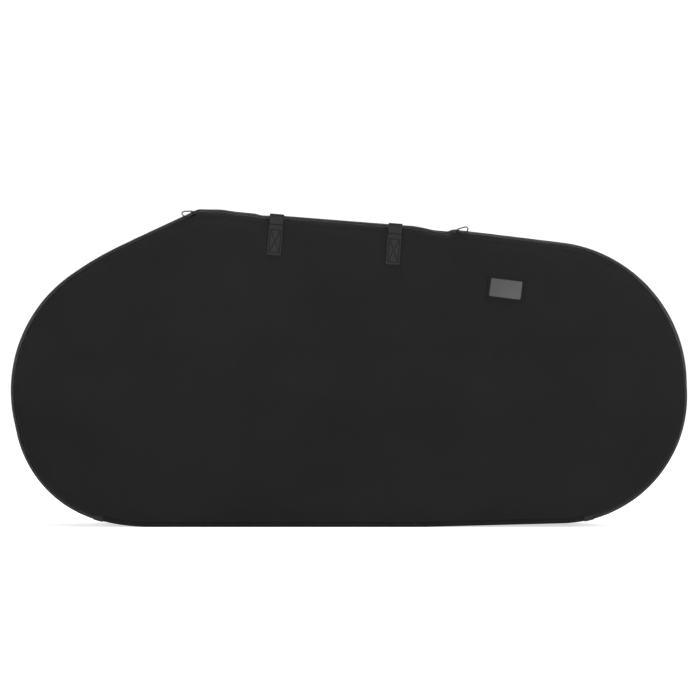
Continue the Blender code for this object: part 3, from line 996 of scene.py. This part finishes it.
def settle(obj, pinned):
    """Lets slack cloth settle by simulation, sewn down where it is pinned, and keeps its moves small."""
    sewn = obj.vertex_groups.new(name="sewn")
    sewn.add(np.flatnonzero(pinned).tolist(), 1.0, "REPLACE")
    cloth_sim = obj.modifiers.new("Cloth", "CLOTH")
    settings = cloth_sim.settings
    settings.quality = 6
    settings.mass = 0.25
    settings.tension_stiffness = 12.0
    settings.compression_stiffness = 12.0
    settings.shear_stiffness = 4.0
    settings.bending_stiffness = 0.6
    settings.use_pressure = True
    settings.uniform_pressure_force = settle_pressure
    settings.shrink_min = -settle_slack
    settings.vertex_group_mass = sewn.name
    settings.effector_weights.gravity = 0.0
    before = points_of(obj)
    for step in range(1, settle_steps + 1):
        bpy.context.scene.frame_set(step)
    graph = bpy.context.evaluated_depsgraph_get()
    moved = points_of(obj.evaluated_get(graph)) - before
    far = np.linalg.norm(moved, axis=1, keepdims=True)
    moved *= np.minimum(1.0, settle_cap / np.maximum(far, 1e-9))
    obj.modifiers.remove(cloth_sim)
    obj.vertex_groups.remove(sewn)
    bpy.context.scene.frame_set(1)
    move_points(obj, before + moved)


def subdivide_once(obj):
    finer = obj.modifiers.new("Finer", "SUBSURF")
    finer.levels = 1
    finer.render_levels = 1
    apply_modifiers(obj)


def beside_handle(s, inset, side):
    """1 where a handle keeps the cloth flat: under its loop at the back, round its sewn ends in front."""
    middle = joints["rear_handle_swing"]["pos_m"]
    along = nearest_edge(np.array([middle[0]]), np.array([middle[2]]), half_depth)[1][0]
    from_middle = np.abs(s - along)
    if side > 0:
        away = eased((from_middle - handle_spread / 2 - loop_margin) / loop_fade)
        below = eased((inset - handle_reach - loop_drop) / loop_fade)
    else:
        away = eased((np.abs(from_middle - handle_spread / 2) - end_margin) / end_fade)
        below = eased((inset - end_drop) / end_drop_fade)
    return (1.0 - away) * (1.0 - below)


def panel_swell(x, z, inset, s, seed, side):
    """How far the padded cloth stands out of its flat face: crown, slack waves, puckers and fold."""
    inner = np.maximum(inset - face_inset, 0.0)
    rise = crown * (1.0 - np.exp(-inner / crown_run))
    waves = long_wave * ripple(x, z * 1.5, long_wave_run, seed)
    waves = waves + short_wave * ripple(x * 1.7, z, short_wave_run, seed + 1)
    at_seam = eased(inner / 0.008) * np.exp(-inner / 0.030)
    puckers = pucker * at_seam * ripple(s, inner * 0.25, pucker_run, seed + 2)
    line = fold_height + fold_slope * x + fold_wander * ripple_along(x, fold_wander_run, seed + 3)
    strength = 0.55 + 0.45 * ripple_along(x, fold_depth_run, seed + 4)
    width = np.where(z > line, fold_above, fold_below)
    fold = fold_depth * strength * np.exp(-(((z - line) / width) ** 2))
    free = eased(inner / slack_run)
    swell = np.maximum(rise + free * (waves - fold) + puckers, 0.0)
    return swell * (1.0 - beside_handle(s, inset, side))


def panel_cloth(label, side, body, seed):
    """Outer cloth of a panel: a rounded lip at the seam and a padded, slightly slack face."""
    flat = half_depth - lip_round
    rows = [(cover_inset, panel_seam)]
    rows += [
        (cover_inset + lip_round * (1.0 - math.cos(a)), flat + lip_round * math.sin(a))
        for a in np.linspace(0.0, math.pi / 2, 6)
    ]
    rows += [(face_inset + step, half_depth) for step in lip_bands]
    obj = panel_grid(f"{label}_panel_cloth", side, [(inset, side * y) for inset, y in rows])
    co = points_of(obj)
    inset, beside = nearest_edge(co[:, 0], co[:, 2], side * half_depth)
    co[:, 1] += side * panel_swell(co[:, 0], co[:, 2], inset, beside, seed, side)
    move_points(obj, co)
    shaped = points_of(obj)
    settle(obj, inset < face_inset + lip_bands[-1])
    held = beside_handle(beside, inset, side)[:, None]
    co = shaped * held + points_of(obj) * (1.0 - held)
    face = inset > face_inset
    co[face, 1] = side * np.maximum(side * co[face, 1], half_depth)
    move_points(obj, co)
    subdivide_once(obj)
    write_uv(obj, points_of(obj)[:, (0, 2)])
    thicken(obj, cloth)
    smooth(obj, 60.0)
    finish(obj, body, outer_cloth, "outer_cloth", f"{label}_cover")
    return obj


def ring_area(inset):
    """Area inside the outline moved in by inset."""
    s = np.linspace(0.0, outline.length, edge_samples, endpoint=False)
    x, _, z = ring_on_panel(s, inset, 0.0).T
    return abs(np.dot(x, np.roll(z, 1)) - np.dot(z, np.roll(x, 1))) / 2


def panel_padding(label, side, body):
    """Foam behind a panel's outer cloth."""
    edge = face_inset + gap
    middle = half_depth - cloth - gap - panel_foam / 2
    rows = [(edge, side * middle), (edge + 0.007, side * middle)]
    obj = panel_grid(f"{label}_panel_padding", side, rows, 0.024)
    thicken(obj, panel_foam - gap, 0.0, 0.0015)
    smooth(obj)
    finish(obj, body, foam, "padding_foam", f"{label}_foam")
    return obj


def panel_lining(label, side, body, padding, seed):
    """Lining inside a panel, with shallow folds that die out at its seam and under what is sewn on it."""
    rows = [(cover_inset + step, side * panel_inner) for step in (0.0, 0.007, 0.014)]
    obj = panel_grid(f"{label}_panel_inner_cloth", -side, rows, 0.016)
    co = points_of(obj)
    inner = nearest_edge(co[:, 0], co[:, 2], side * half_depth)[0] - cover_inset
    fade = np.clip((inner - 0.020) / 0.05, 0.0, 1.0)
    for x in tie_x:
        fade *= np.clip((np.abs(co[:, 0] - x) - 0.03) / 0.05, 0.0, 1.0)
    folds = ripple(co[:, 0], co[:, 2] * 2.0, 0.14, seed) + 0.5 * ripple(co[:, 0], co[:, 2], 0.05, seed)
    co[:, 1] -= side * fade * lining_slack * np.maximum(folds + 0.4, 0.0)
    move_points(obj, co)
    thicken(obj, lining - 0.0001)
    smooth(obj, 60.0)
    finish(obj, body, inner_cloth, "lining_cloth", f"{label}_lining")
    area = ring_area(cover_inset)


# Stitches


def beads(name, centres, along, out, length=stitch):
    """One stitch, modelled once and copied to each place, lying along its seam."""
    deselect()
    bpy.ops.mesh.primitive_uv_sphere_add(segments=6, ring_count=4, radius=1.0)
    obj = named(name)
    put_in_order(obj)
    co = repeated(obj, len(centres))
    beside = np.cross(out, along)
    made = centres[:, None] + co[:, :, 2:3] * along[:, None] * (length / 2)
    made += co[:, :, 0:1] * beside[:, None] * thread * thread_spread + co[:, :, 1:2] * out[:, None] * thread
    move_points(obj, made.reshape(-1, 3))
    edit(obj, bpy.ops.mesh.normals_make_consistent)
    pick(obj)
    bpy.ops.object.shade_smooth()
    return obj


def seam_on_outline(name, start, stop, depth, out, lean, body, slot):
    """A row of stitches along the outline, at a depth and a height over it; lean turns it to the front."""
    count = max(2, round((stop - start) / stitch_pitch))
    s = start + (np.arange(count) + 0.5) / count * (stop - start)
    points, outward = outline.at(s, depth)
    place = points + outward * out
    centres = np.column_stack((place[:, 0], np.full(count, depth), place[:, 1]))
    along = np.column_stack((outward[:, 1], np.zeros(count), -outward[:, 0]))
    turned = outward * math.cos(lean)
    normal = np.column_stack((turned[:, 0], np.full(count, -math.sin(lean)), turned[:, 1]))
    row = beads(name, centres, along, normal)
    rest_on_floor(row)
    finish(row, body, sewing_thread, slot)


def seam_on_lines(name, lines, matrix, pitch=stitch_pitch, length=stitch):
    """Rows of stitches along straight lines drawn in a piece's own flat frame, lifted by w."""
    turn = matrix.to_3x3()
    centres, along = [], []
    for (u0, v0), (u1, v1), w in lines:
        count = max(1, round(math.hypot(u1 - u0, v1 - v0) / pitch))
        for t in (np.arange(count) + 0.5) / count:
            centres.append(matrix @ Vector((u0 + (u1 - u0) * t, v0 + (v1 - v0) * t, w)))
            along.append(turn @ Vector((u1 - u0, v1 - v0, 0.0)).normalized())
    out = np.tile(turn @ Vector((0.0, 0.0, 1.0)), (len(centres), 1))
    return beads(name, np.array(centres), np.array(along), out, length)


def box_lines(half_width, low, high, w):
    """The four sides of a box, one after the other."""
    corners = [(-half_width, low), (half_width, low), (half_width, high), (-half_width, high)]
    return [(a, b, w) for a, b in zip(corners, corners[1:] + corners[:1])]


def crossed_box(half_width, low, high, w):
    """Lines of a box with its diagonals, each sewn twice side by side."""
    runs = box_lines(half_width, low, high, w)
    runs += [((-half_width, low), (half_width, high), w), ((half_width, low), (-half_width, high), w)]
    lines = []
    for (u0, v0), (u1, v1), _ in runs:
        share = stitch_rows / 2 / math.hypot(u1 - u0, v1 - v0)
        du, dv = share * (v1 - v0), share * (u0 - u1)
        lines.append(((u0 + du, v0 + dv), (u1 + du, v1 + dv), w))
        lines.append(((u0 - du, v0 - dv), (u1 - du, v1 - dv), w))
    return lines


# Zip


def zip_point(across, out):
    """Depth and outward place of a point of the zip, from its own flat frame."""
    half = math.sqrt(0.5)
    return zip_y + (across - out) * half, -zip_inset + (across + out) * half


def zip_tape(label, side, body):
    """Woven tape of one half of the zip. The front one dips into the groove beside the panel's seam."""
    bends = [(tape_edge, 0.0), (tape_bend, 0.0)]
    if side < 0:
        bends += [(tape_bend + tape_step, -tape_dip * 0.8), (tape_seam_reach, -tape_dip - tape_tuck)]
        bends.reverse()
    else:
        bends.append((tape_reach, 0.0))
    profile = [zip_point(side * across, out) for across, out in bends]
    obj = cloth_strip(f"{label}_woven_tape", zip_start + gap, zip_stop - gap, profile, 0.006, 0.0016)
    wrap(obj, tape, angle=50.0)
    finish(obj, body, zip_webbing, "zip_tape", f"{label}_zip_tape")


def opened(s):
    """0 where the zip is closed, 1 where it is undone between the sliders."""
    rise = np.clip((s - mouth_start + zip_parting) / (2 * zip_parting), 0.0, 1.0)
    fall = np.clip((mouth_stop + zip_parting - s) / (2 * zip_parting), 0.0, 1.0)
    return np.minimum(rise, fall)


def zip_teeth(label, side, body):
    """One bite of the coil, copied along the zip. It reaches into the other half where that is closed."""
    count = int((zip_stop - zip_start - 2 * gap) / tooth_pitch) - 1
    deselect()
    bpy.ops.mesh.primitive_cube_add(size=1.0)
    obj = named(f"{label}_teeth")
    round_edges(obj, tooth_bevel, 1)
    co = repeated(obj, count)
    first = zip_start + gap + tooth_pitch * (0.75 if side < 0 else 1.25)
    middle = first + np.arange(count)[:, None] * tooth_pitch
    reach = co[:, :, 1] + 0.5
    s = middle + co[:, :, 0] * tooth_length + (reach - 0.5) * tooth_slant
    tip = tooth_tip_closed + (tooth_tip_open - tooth_tip_closed) * opened(middle)
    across = side * (tip + (tooth_root - tip) * reach)
    out = gap + (co[:, :, 2] + 0.5) * tooth_height
    depth, height = zip_point(across, out)
    move_points(obj, np.stack((s, depth, height), axis=2).reshape(-1, 3))
    bend_on_outline(obj)
    edit(obj, bpy.ops.mesh.normals_make_consistent)
    smooth(obj, 50.0)
    finish(obj, body, coil_nylon, "zip_coil", f"{label}_zip_coil")


def zip_stitches(label, side, body):
    across, out = tape_thread[label]
    depth, out = zip_point(side * across, out)
    start, stop = zip_start + 0.004, zip_stop - 0.004
    lean = math.radians(45.0)
    seam_on_outline(f"{label}_zip_stitches", start, stop, depth, out, lean, body, "zip_tape")


def zip_tab(side, start, stop):
    """A folded patch sewn over each end of the zip, round the front edge of the base."""
    arc = [
        (-wall_y - tab_turn * math.sin(a), -edge_round + tab_turn * math.cos(a))
        for a in np.linspace(math.pi / 2, 0.0, 7)
    ]
    obj = cloth_strip(f"{side}_zip_tab", start, stop, arc, 0.003, 0.0025)
    wrap(obj, end_tab, 1.0, 0.0004)
    finish(obj, "shell", strap_webbing, "webbing", f"zip_end_tab_{side}")
    lean = math.radians(45.0)
    top = tab_turn + end_tab
    depth = -wall_y - top * math.sin(lean)
    out = -edge_round + top * math.cos(lean)
    name = f"{side}_zip_tab_stitches_1"
    seam_on_outline(name, start + 0.003, stop - 0.003, depth, out, lean, "shell", "webbing")


def slider(side):
    """A copy of the frame's slider with its sharp edges rounded."""
    node = f"zip_slider_{side}"
    obj = bpy.data.objects.new(f"{side}_slider_body", bpy.data.objects[node].data.copy())
    bpy.context.scene.collection.objects.link(obj)
    edit(obj, lambda: bpy.ops.mesh.remove_doubles(threshold=0.00001))
    edit(obj, lambda: bpy.ops.mesh.dissolve_limited(angle_limit=math.radians(2.0)))
    round_edges(obj, slider_bevel, 3, 28.0)
    smooth(obj)
    finish(obj, f"slider_{side}", dark_plating, "slider_metal", node)


def zip_frame(s, direction):
    """Axes at a slider: u along its way, v across the zip, w out of the tape."""
    points, outward = outline.at(s)
    inner = points[0] - outward[0] * zip_inset
    out = Vector((outward[0][0], 0.0, outward[0][1]))
    along = Vector((out.z, 0.0, -out.x)) * direction
    normal = (out - Vector((0.0, 1.0, 0.0))) * math.sqrt(0.5)
    turned = Matrix((along, normal.cross(along), normal)).transposed().to_4x4()
    return Matrix.Translation((inner[0], zip_y, inner[1])) @ turned


def wire_pull(side, s, direction):
    """Round wire bent to a loop that hangs in the slider's crown."""
    slider_top = gap + tooth_height + slider_clearance + slider_plate
    axis_out = slider_top + crown_gap + pull_wire / 2
    lifted = zip_frame(s, direction) @ Matrix.Translation((0.0, 0.0, axis_out))
    lifted = lifted @ Matrix.Rotation(-pull_lift, 4, "Y")
    shoulder = pull_length - pull_half_width
    corners = [
        (0.0, -pull_neck), (0.0, pull_neck), (shoulder, pull_half_width),
        (pull_length, pull_half_width), (pull_length, -pull_half_width), (shoulder, -pull_half_width),
    ]
    radii = [pull_wire, pull_wire, pull_shoulder, pull_half_width, pull_half_width, pull_shoulder]
    path = RoundedPath(corners, radii, True)
    points = path.at(np.linspace(0.0, path.length, wire_points, endpoint=False))[0]
    obj = new_ring(f"{side}_wire_pull", placed(lifted, *points.T, np.zeros(wire_points)))
    pick(obj)
    bpy.ops.object.convert(target="CURVE")
    wire = bpy.context.object
    wire.data.dimensions = "3D"
    wire.data.bevel_depth = wire_seen / 2
    wire.data.bevel_resolution = 4
    bpy.ops.object.convert(target="MESH")
    obj = named(f"{side}_wire_pull")
    edit(obj, bpy.ops.mesh.normals_make_consistent)
    bpy.ops.object.shade_smooth()
    finish(obj, f"pull_{side}", dark_plating, "pull_wire", f"zip_pull_{side}")


def zip_all():
    for half in halves:
        zip_tape(*half)
        zip_teeth(*half)
        zip_stitches(*half)
    near = gap + tape
    zip_tab("left", zip_start - near - end_tab_length, zip_start - near)
    zip_tab("right", zip_stop + near, zip_stop + near + end_tab_length)
    for side, s, direction in (("left", mouth_start, -1.0), ("right", mouth_stop, 1.0)):
        slider(side)
        wire_pull(side, s, direction)


# Webbing


def groove(u, v, lines):
    """How strongly stitches pull the strap in at (u, v): 1 on a sewn line, 0 away from it."""
    pull = np.zeros(len(u))
    for (u0, v0), (u1, v1), _ in lines:
        du, dv = u1 - u0, v1 - v0
        t = np.clip(((u - u0) * du + (v - v0) * dv) / (du * du + dv * dv), 0.0, 1.0)
        away = np.hypot(u - u0 - t * du, v - v0 - t * dv)
        pull = np.maximum(pull, np.exp(-((away / groove_width) ** 2)))
    return pull


def finish_strap(obj, thickness):
    """Gives a strap its thickness, with round edges."""
    thicken(obj, thickness, 0.0, thickness * strap_edge_share)
    smooth(obj, 50.0)


def strap(name, path, width, thickness, matrix, step=0.004, across=10, sewn=(), front=1.0):
    """A woven strap whose middle line runs through (v, w) points of its own frame."""
    path = np.array(path, float)
    lengths = run_lengths(path)
    obj = new_grid(name, max(4, round(lengths[-1] / step)), across)
    co = points_of(obj)
    t = (co[:, 0] + 0.5) * lengths[-1]
    u = co[:, 1] * width
    v = np.interp(t, lengths, path[:, 0])
    w = np.interp(t, lengths, path[:, 1]) - front * groove_depth * groove(u, v, sewn)
    write_uv(obj, np.column_stack((t, u)))
    move_points(obj, placed(matrix, u, v, w))
    finish_strap(obj, thickness)
    return obj


def stand_off(obj, cloth_tree, side):
    """Lets a sewn piece follow the swell of the cloth under it."""
    co = points_of(obj)
    for k, (x, _, z) in enumerate(co):
        hit = cloth_tree.ray_cast(Vector((x, side * 0.5, z)), Vector((0.0, -side, 0.0)))[0]
        if hit is not None:
            co[k, 1] += side * max(0.0, side * hit.y - half_depth)
    move_points(obj, co)


def handle_frame(side):
    """Axes at a handle's fold: u along the mouth, v up out of it, w to the front of the bag."""
    joint = joints["front_handle_swing" if side < 0 else "rear_handle_swing"]
    along = Vector(joint["axis"])
    up = Vector((-along.z, 0.0, along.x))
    turned = Matrix((along, up, Vector((0.0, -1.0, 0.0)))).transposed().to_4x4()
    return Matrix.Translation(joint["pos_m"]) @ turned


def handle_end(label, end, u, side, body, cloth_tree):
    """A sewn end of a handle: it lies on the panel, steps up at the tack and ends just under the fold."""
    here = handle_frame(side) @ Matrix.Translation((u, 0.0, 0.0))
    flat = side * anchor_back
    hem = flat - side * anchor_hem
    raised = flat - side * anchor_step
    foot = -anchor_top - anchor_length
    path = [
        (foot, hem), (foot + 0.005, hem), (foot + 0.007, flat), (-stitch_line_drop - 0.0012, flat),
        (-stitch_line_drop + 0.0006, raised), (-0.014, raised), (-0.008, flat), (-anchor_top, flat),
    ]
    w = flat - side * (webbing / 2 - anchor_step)
    box = crossed_box(box_half, -box_foot_drop, -box_top_drop, w)
    half = webbing_width / 2
    tack = [
        ((-half, -stitch_line_drop + k), (half, -stitch_line_drop + k), w)
        for k in (-tack_rows, tack_rows)
    ]
    obj = strap(
        f"{label}_handle_end_{end}", path, webbing_width, webbing, here, 0.0013, 30, box + tack, -side
    )
    stand_off(obj, cloth_tree, side)
    finish(obj, body, strap_webbing, "webbing", f"{label}_handle_anchor_{end}")
    for kind, lines, pitch, length in (
        ("stitches", box, stitch_pitch, stitch),
        ("tack", tack, tack_pitch, tack_stitch),
    ):
        row = seam_on_lines(f"{label}_handle_{kind}_{end}", lines, here, pitch, length)
        stand_off(row, cloth_tree, side)
        finish(row, body, sewing_thread, "webbing")


def handle_strap(label, side):
    """The free loop of a handle: one strap with round bends that turns on the fold at its ends."""
    half = handle_spread / 2
    corners = [(-half, 0.0), (-half, handle_reach), (half, handle_reach), (half, 0.0)]
    path = RoundedPath(corners, [0.0, handle_bend, handle_bend, 0.0], False)
    obj = new_grid(f"{label}_handle_strap", round(path.length / 0.005), 10)
    co = points_of(obj)
    t = (co[:, 0] + 0.5) * path.length
    points, outward = path.at(t)
    across = co[:, 1] * webbing_width
    flat = points + outward * across[:, None]
    write_uv(obj, np.column_stack((t, across)))
    rest = handle_frame(side) @ Matrix.Rotation(-math.pi / 2 if side < 0 else math.pi, 4, "X")
    move_points(obj, placed(rest, *flat.T, np.zeros(len(flat))))
    finish_strap(obj, webbing)
    finish(obj, f"{label}_handle", strap_webbing, "webbing", f"{label}_handle_loop")


def handles(*cloth_trees):
    for (label, side, body), tree in zip(halves, cloth_trees):
        for end, u in (("left", -handle_spread / 2), ("right", handle_spread / 2)):
            handle_end(label, end, u, side, body, tree)
        handle_strap(label, side)


# Card window


def upright(x, y, z, tilt=0.0):
    """A frame for a flat piece that faces the front: u to the right, v up, w to the front."""
    turn = Matrix.Rotation(math.pi / 2, 4, "X") @ Matrix.Rotation(tilt, 4, "Z")
    return Matrix.Translation((x, y, z)) @ turn


def rounded_rectangle(width, height, radius):
    """Points round a rectangle, evenly spaced."""
    half = (width / 2, height / 2)
    corners = [(-half[0], -half[1]), (-half[0], half[1]), (half[0], half[1]), (half[0], -half[1])]
    path = RoundedPath(corners, [radius] * 4, True)
    return path.at(np.arange(border_points) / border_points * path.length)[0]


def card_film(base, front_tree):
    """Clear film that bulges a little in the middle."""
    film = new_grid("card_film", 24, 14)
    co = points_of(film)
    u, v = co[:, 0] * (window_width + window_overlap), co[:, 1] * (window_height + window_overlap)
    bulge = film_bulge * (1.0 - (2 * co[:, 0]) ** 2) * (1.0 - (2 * co[:, 1]) ** 2)
    move_points(film, placed(base, u, v, bulge))
    write_uv(film, np.column_stack((u, v)))
    thicken(film, window_film_thickness, 1.0)
    stand_off(film, front_tree, -1.0)
    smooth(film, 50.0)
    finish(film, "lid", window_film, "clear_film", "id_window_film")


def card_border(base, front_tree, lift):
    """Hemmed border with round corners, a little thicker in the middle of its width."""
    outer = rounded_rectangle(
        window_width + 2 * window_border, window_height + 2 * window_border, window_border
    )
    inner = rounded_rectangle(window_width - 0.001, window_height - 0.001, window_corner)
    rings = []
    for t in np.linspace(0.0, 1.0, 6):
        height = np.full(border_points, lift + 0.0004 * math.sin(t * math.pi))
        rings.append(np.column_stack((outer + (inner - outer) * t, height)))
    border = new_ring("card_border", rings[0])
    extrude_rings(border, rings)
    bpy.ops.object.mode_set(mode="OBJECT")
    put_in_order(border)
    co = points_of(border)
    write_uv(border, co[:, :2])
    if sum(p.normal.z * p.area for p in border.data.polygons) < 0.0:
        edit(border, bpy.ops.mesh.flip_normals)
    move_points(border, placed(base, *co.T))
    thicken(border, window_frame_thickness, 1.0, 0.0003)
    stand_off(border, front_tree, -1.0)
    smooth(border, 50.0)
    finish(border, "lid", outer_cloth, "outer_cloth", "id_window_frame")


def card_window(front_tree):
    """Clear film under a hemmed border, sewn on the front panel."""
    base = upright(window_x, -half_depth - gap, window_z, -window_tilt)
    lift = window_film_thickness + gap
    card_film(base, front_tree)
    card_border(base, front_tree, lift)
    half_u, half_v = window_width / 2 + window_overlap, window_height / 2 + window_overlap
    lines = box_lines(half_u, -half_v, half_v, lift + window_frame_thickness + 0.0004)
    row = seam_on_lines("card_border_stitches", lines, base)
    stand_off(row, front_tree, -1.0)
    finish(row, "lid", sewing_thread, "outer_cloth")


# Inside


def bindings():
    """Tape bound over the inside of each panel's seam, with a row of stitches."""
    start = flat_start * 0.5
    stop = start + outline.length
    for label, side, body in panels:
        face = side * (panel_inner - gap)
        profile = [(face, -cover_inset), (face, -cover_inset - binding_width)]
        if side > 0:
            profile.reverse()
        obj = cloth_strip(f"{label}_seam_binding", start, stop, profile, 0.008, 0.0028)
        wrap(obj, binding, 1.0, 0.0004, 50.0)
        finish(obj, body, seam_tape, "seam_binding", f"{label}_binding")
        depth = side * (panel_inner - gap - binding)
        out = -cover_inset - binding_width + 0.003
        name = f"{label}_binding_stitches"
        seam_on_outline(name, start, stop, depth, out, side * math.pi / 2, body, "seam_binding")


def tie_straps():
    """Straps that hold the bike, each sewn to the back lining under a square patch."""
    face = panel_inner - gap - tie_strap / 2
    side = tie_patch_side / 2
    hem = side - 0.004
    for number, x in enumerate(tie_x, 1):
        steps = np.linspace(-tie_length / 2, tie_length / 2, 61)
        free = np.clip((np.abs(steps) - 0.03) / 0.10, 0.0, 1.0)
        wave = free * (tie_wave + tie_wave * np.sin(steps * tie_wave_turn + number))
        path = [(v, max(0.0, w)) for v, w in zip(steps, wave)]
        obj = strap(f"tie_{number}", path, tie_width, tie_strap, upright(x, face, tie_z), 0.005)
        finish(obj, "shell", strap_webbing, "webbing", f"tie_strap_{number}")
        here = upright(x, face - tie_strap / 2 - gap - tie_patch / 2, tie_z)
        patch = strap(f"tie_{number}_patch", [(-side, 0.0), (side, 0.0)], tie_patch_side, tie_patch, here)
        finish(patch, "shell", inner_cloth, "lining_cloth", f"tie_patch_{number}")
        row = seam_on_lines(f"tie_{number}_stitches", crossed_box(hem, -hem, hem, tie_patch / 2), here)
        finish(row, "shell", sewing_thread, "lining_cloth")


def gusset_seams():
    """Top stitching beside the zip's rear tape and beside the back seam."""
    for label, start, stop, depth, out in (
        ("gusset_front", zip_start, zip_stop, -wall_y + 0.005, 0.0006),
        ("gusset_rear", 0.03, outline.length + flat_start - 0.03, wall_y, 0.0),
    ):
        seam_on_outline(f"{label}_stitches", start, stop, depth, out, 0.0, "shell", "outer_cloth")


# Studio


def brighter_to_camera(tree, cast, seen):
    """Strength of a white ground: how much light it casts, and how bright it looks itself."""
    looked_at = tree.nodes.new("ShaderNodeLightPath").outputs["Is Camera Ray"]
    return maths(tree, "ADD", maths(tree, "MULTIPLY", looked_at, seen - cast), cast)


def studio_floor():
    """A wide pale floor that glows a little more far from the bag."""
    deselect()
    bpy.ops.mesh.primitive_circle_add(vertices=64, radius=floor_radius, fill_type="NGON")
    floor = named("studio_floor")
    paper, tree, shader = new_material("white_paper", 0.95, Specular_IOR_Level=0.1)
    shader.inputs["Base Color"].default_value = (0.80, 0.80, 0.80, 1.0)
    shader.inputs["Emission Color"].default_value = (1.0, 1.0, 1.0, 1.0)
    away = tree.nodes.new("ShaderNodeVectorMath")
    away.operation = "LENGTH"
    tree.links.new(places(tree)[0], away.inputs[0])
    far = tree.nodes.new("ShaderNodeMapRange")
    far.interpolation_type = "SMOOTHSTEP"
    for socket, value in floor_glow.items():
        far.inputs[socket].default_value = value
    tree.links.new(away.outputs["Value"], far.inputs["Value"])
    strength = brighter_to_camera(tree, floor_cast, floor_seen)
    glow = maths(tree, "MULTIPLY", strength, far.outputs["Result"])
    tree.links.new(glow, shader.inputs["Emission Strength"])
    floor.data.materials.append(paper)


def studio():
    """The floor under a white sky, soft lights at both sides, above and behind, and the camera."""
    scene = bpy.context.scene
    scene.view_settings.view_transform = "Standard"
    studio_floor()
    world = bpy.data.worlds.new("soft_light")
    world.use_nodes = True
    sky = world.node_tree
    sky.nodes["Background"].inputs[0].default_value = (1.0, 1.0, 1.0, 1.0)
    sky.links.new(brighter_to_camera(sky, sky_cast, sky_seen), sky.nodes["Background"].inputs[1])
    scene.world = world

    for name, (place, size, power) in lights.items():
        light = bpy.data.lights.new(name, "AREA")
        light.shape = "DISK"
        light.size = size
        light.energy = power
        lamp = bpy.data.objects.new(name, light)
        lamp.location = place
        lamp.rotation_euler = (light_aim - Vector(place)).to_track_quat("-Z", "Y").to_euler()
        scene.collection.objects.link(lamp)

    lens = bpy.data.cameras.new("camera")
    lens.sensor_width = sensor_width
    lens.lens = sensor_width * (camera_distance - half_depth) / photo_width
    lens.clip_end = 60.0
    camera = bpy.data.objects.new("camera", lens)
    camera.location = (camera_x, -camera_distance, camera_height)
    camera.rotation_euler = (math.pi / 2, 0.0, 0.0)
    scene.collection.objects.link(camera)
    scene.camera = camera


def tree_of(obj):
    """A finished cloth's faces, to find how far it stands out under what is sewn on it."""
    return BVHTree.FromPolygons(
        [v.co for v in obj.data.vertices], [p.vertices[:] for p in obj.data.polygons]
    )


def main():
    studio()
    wall()
    front, back = [panel_cloth(*panel, seed) for panel, seed in zip(panels, (11, 23))]
    for panel, seed in zip(panels, (31, 37)):
        panel_lining(*panel, panel_padding(*panel), seed)
    bindings()
    zip_all()
    gusset_seams()
    handles(tree_of(front), tree_of(back))
    card_window(tree_of(front))
    tie_straps()
    board = bpy.data.objects["base_board"]
    board.material_slots[0].material = board_plastic


main()
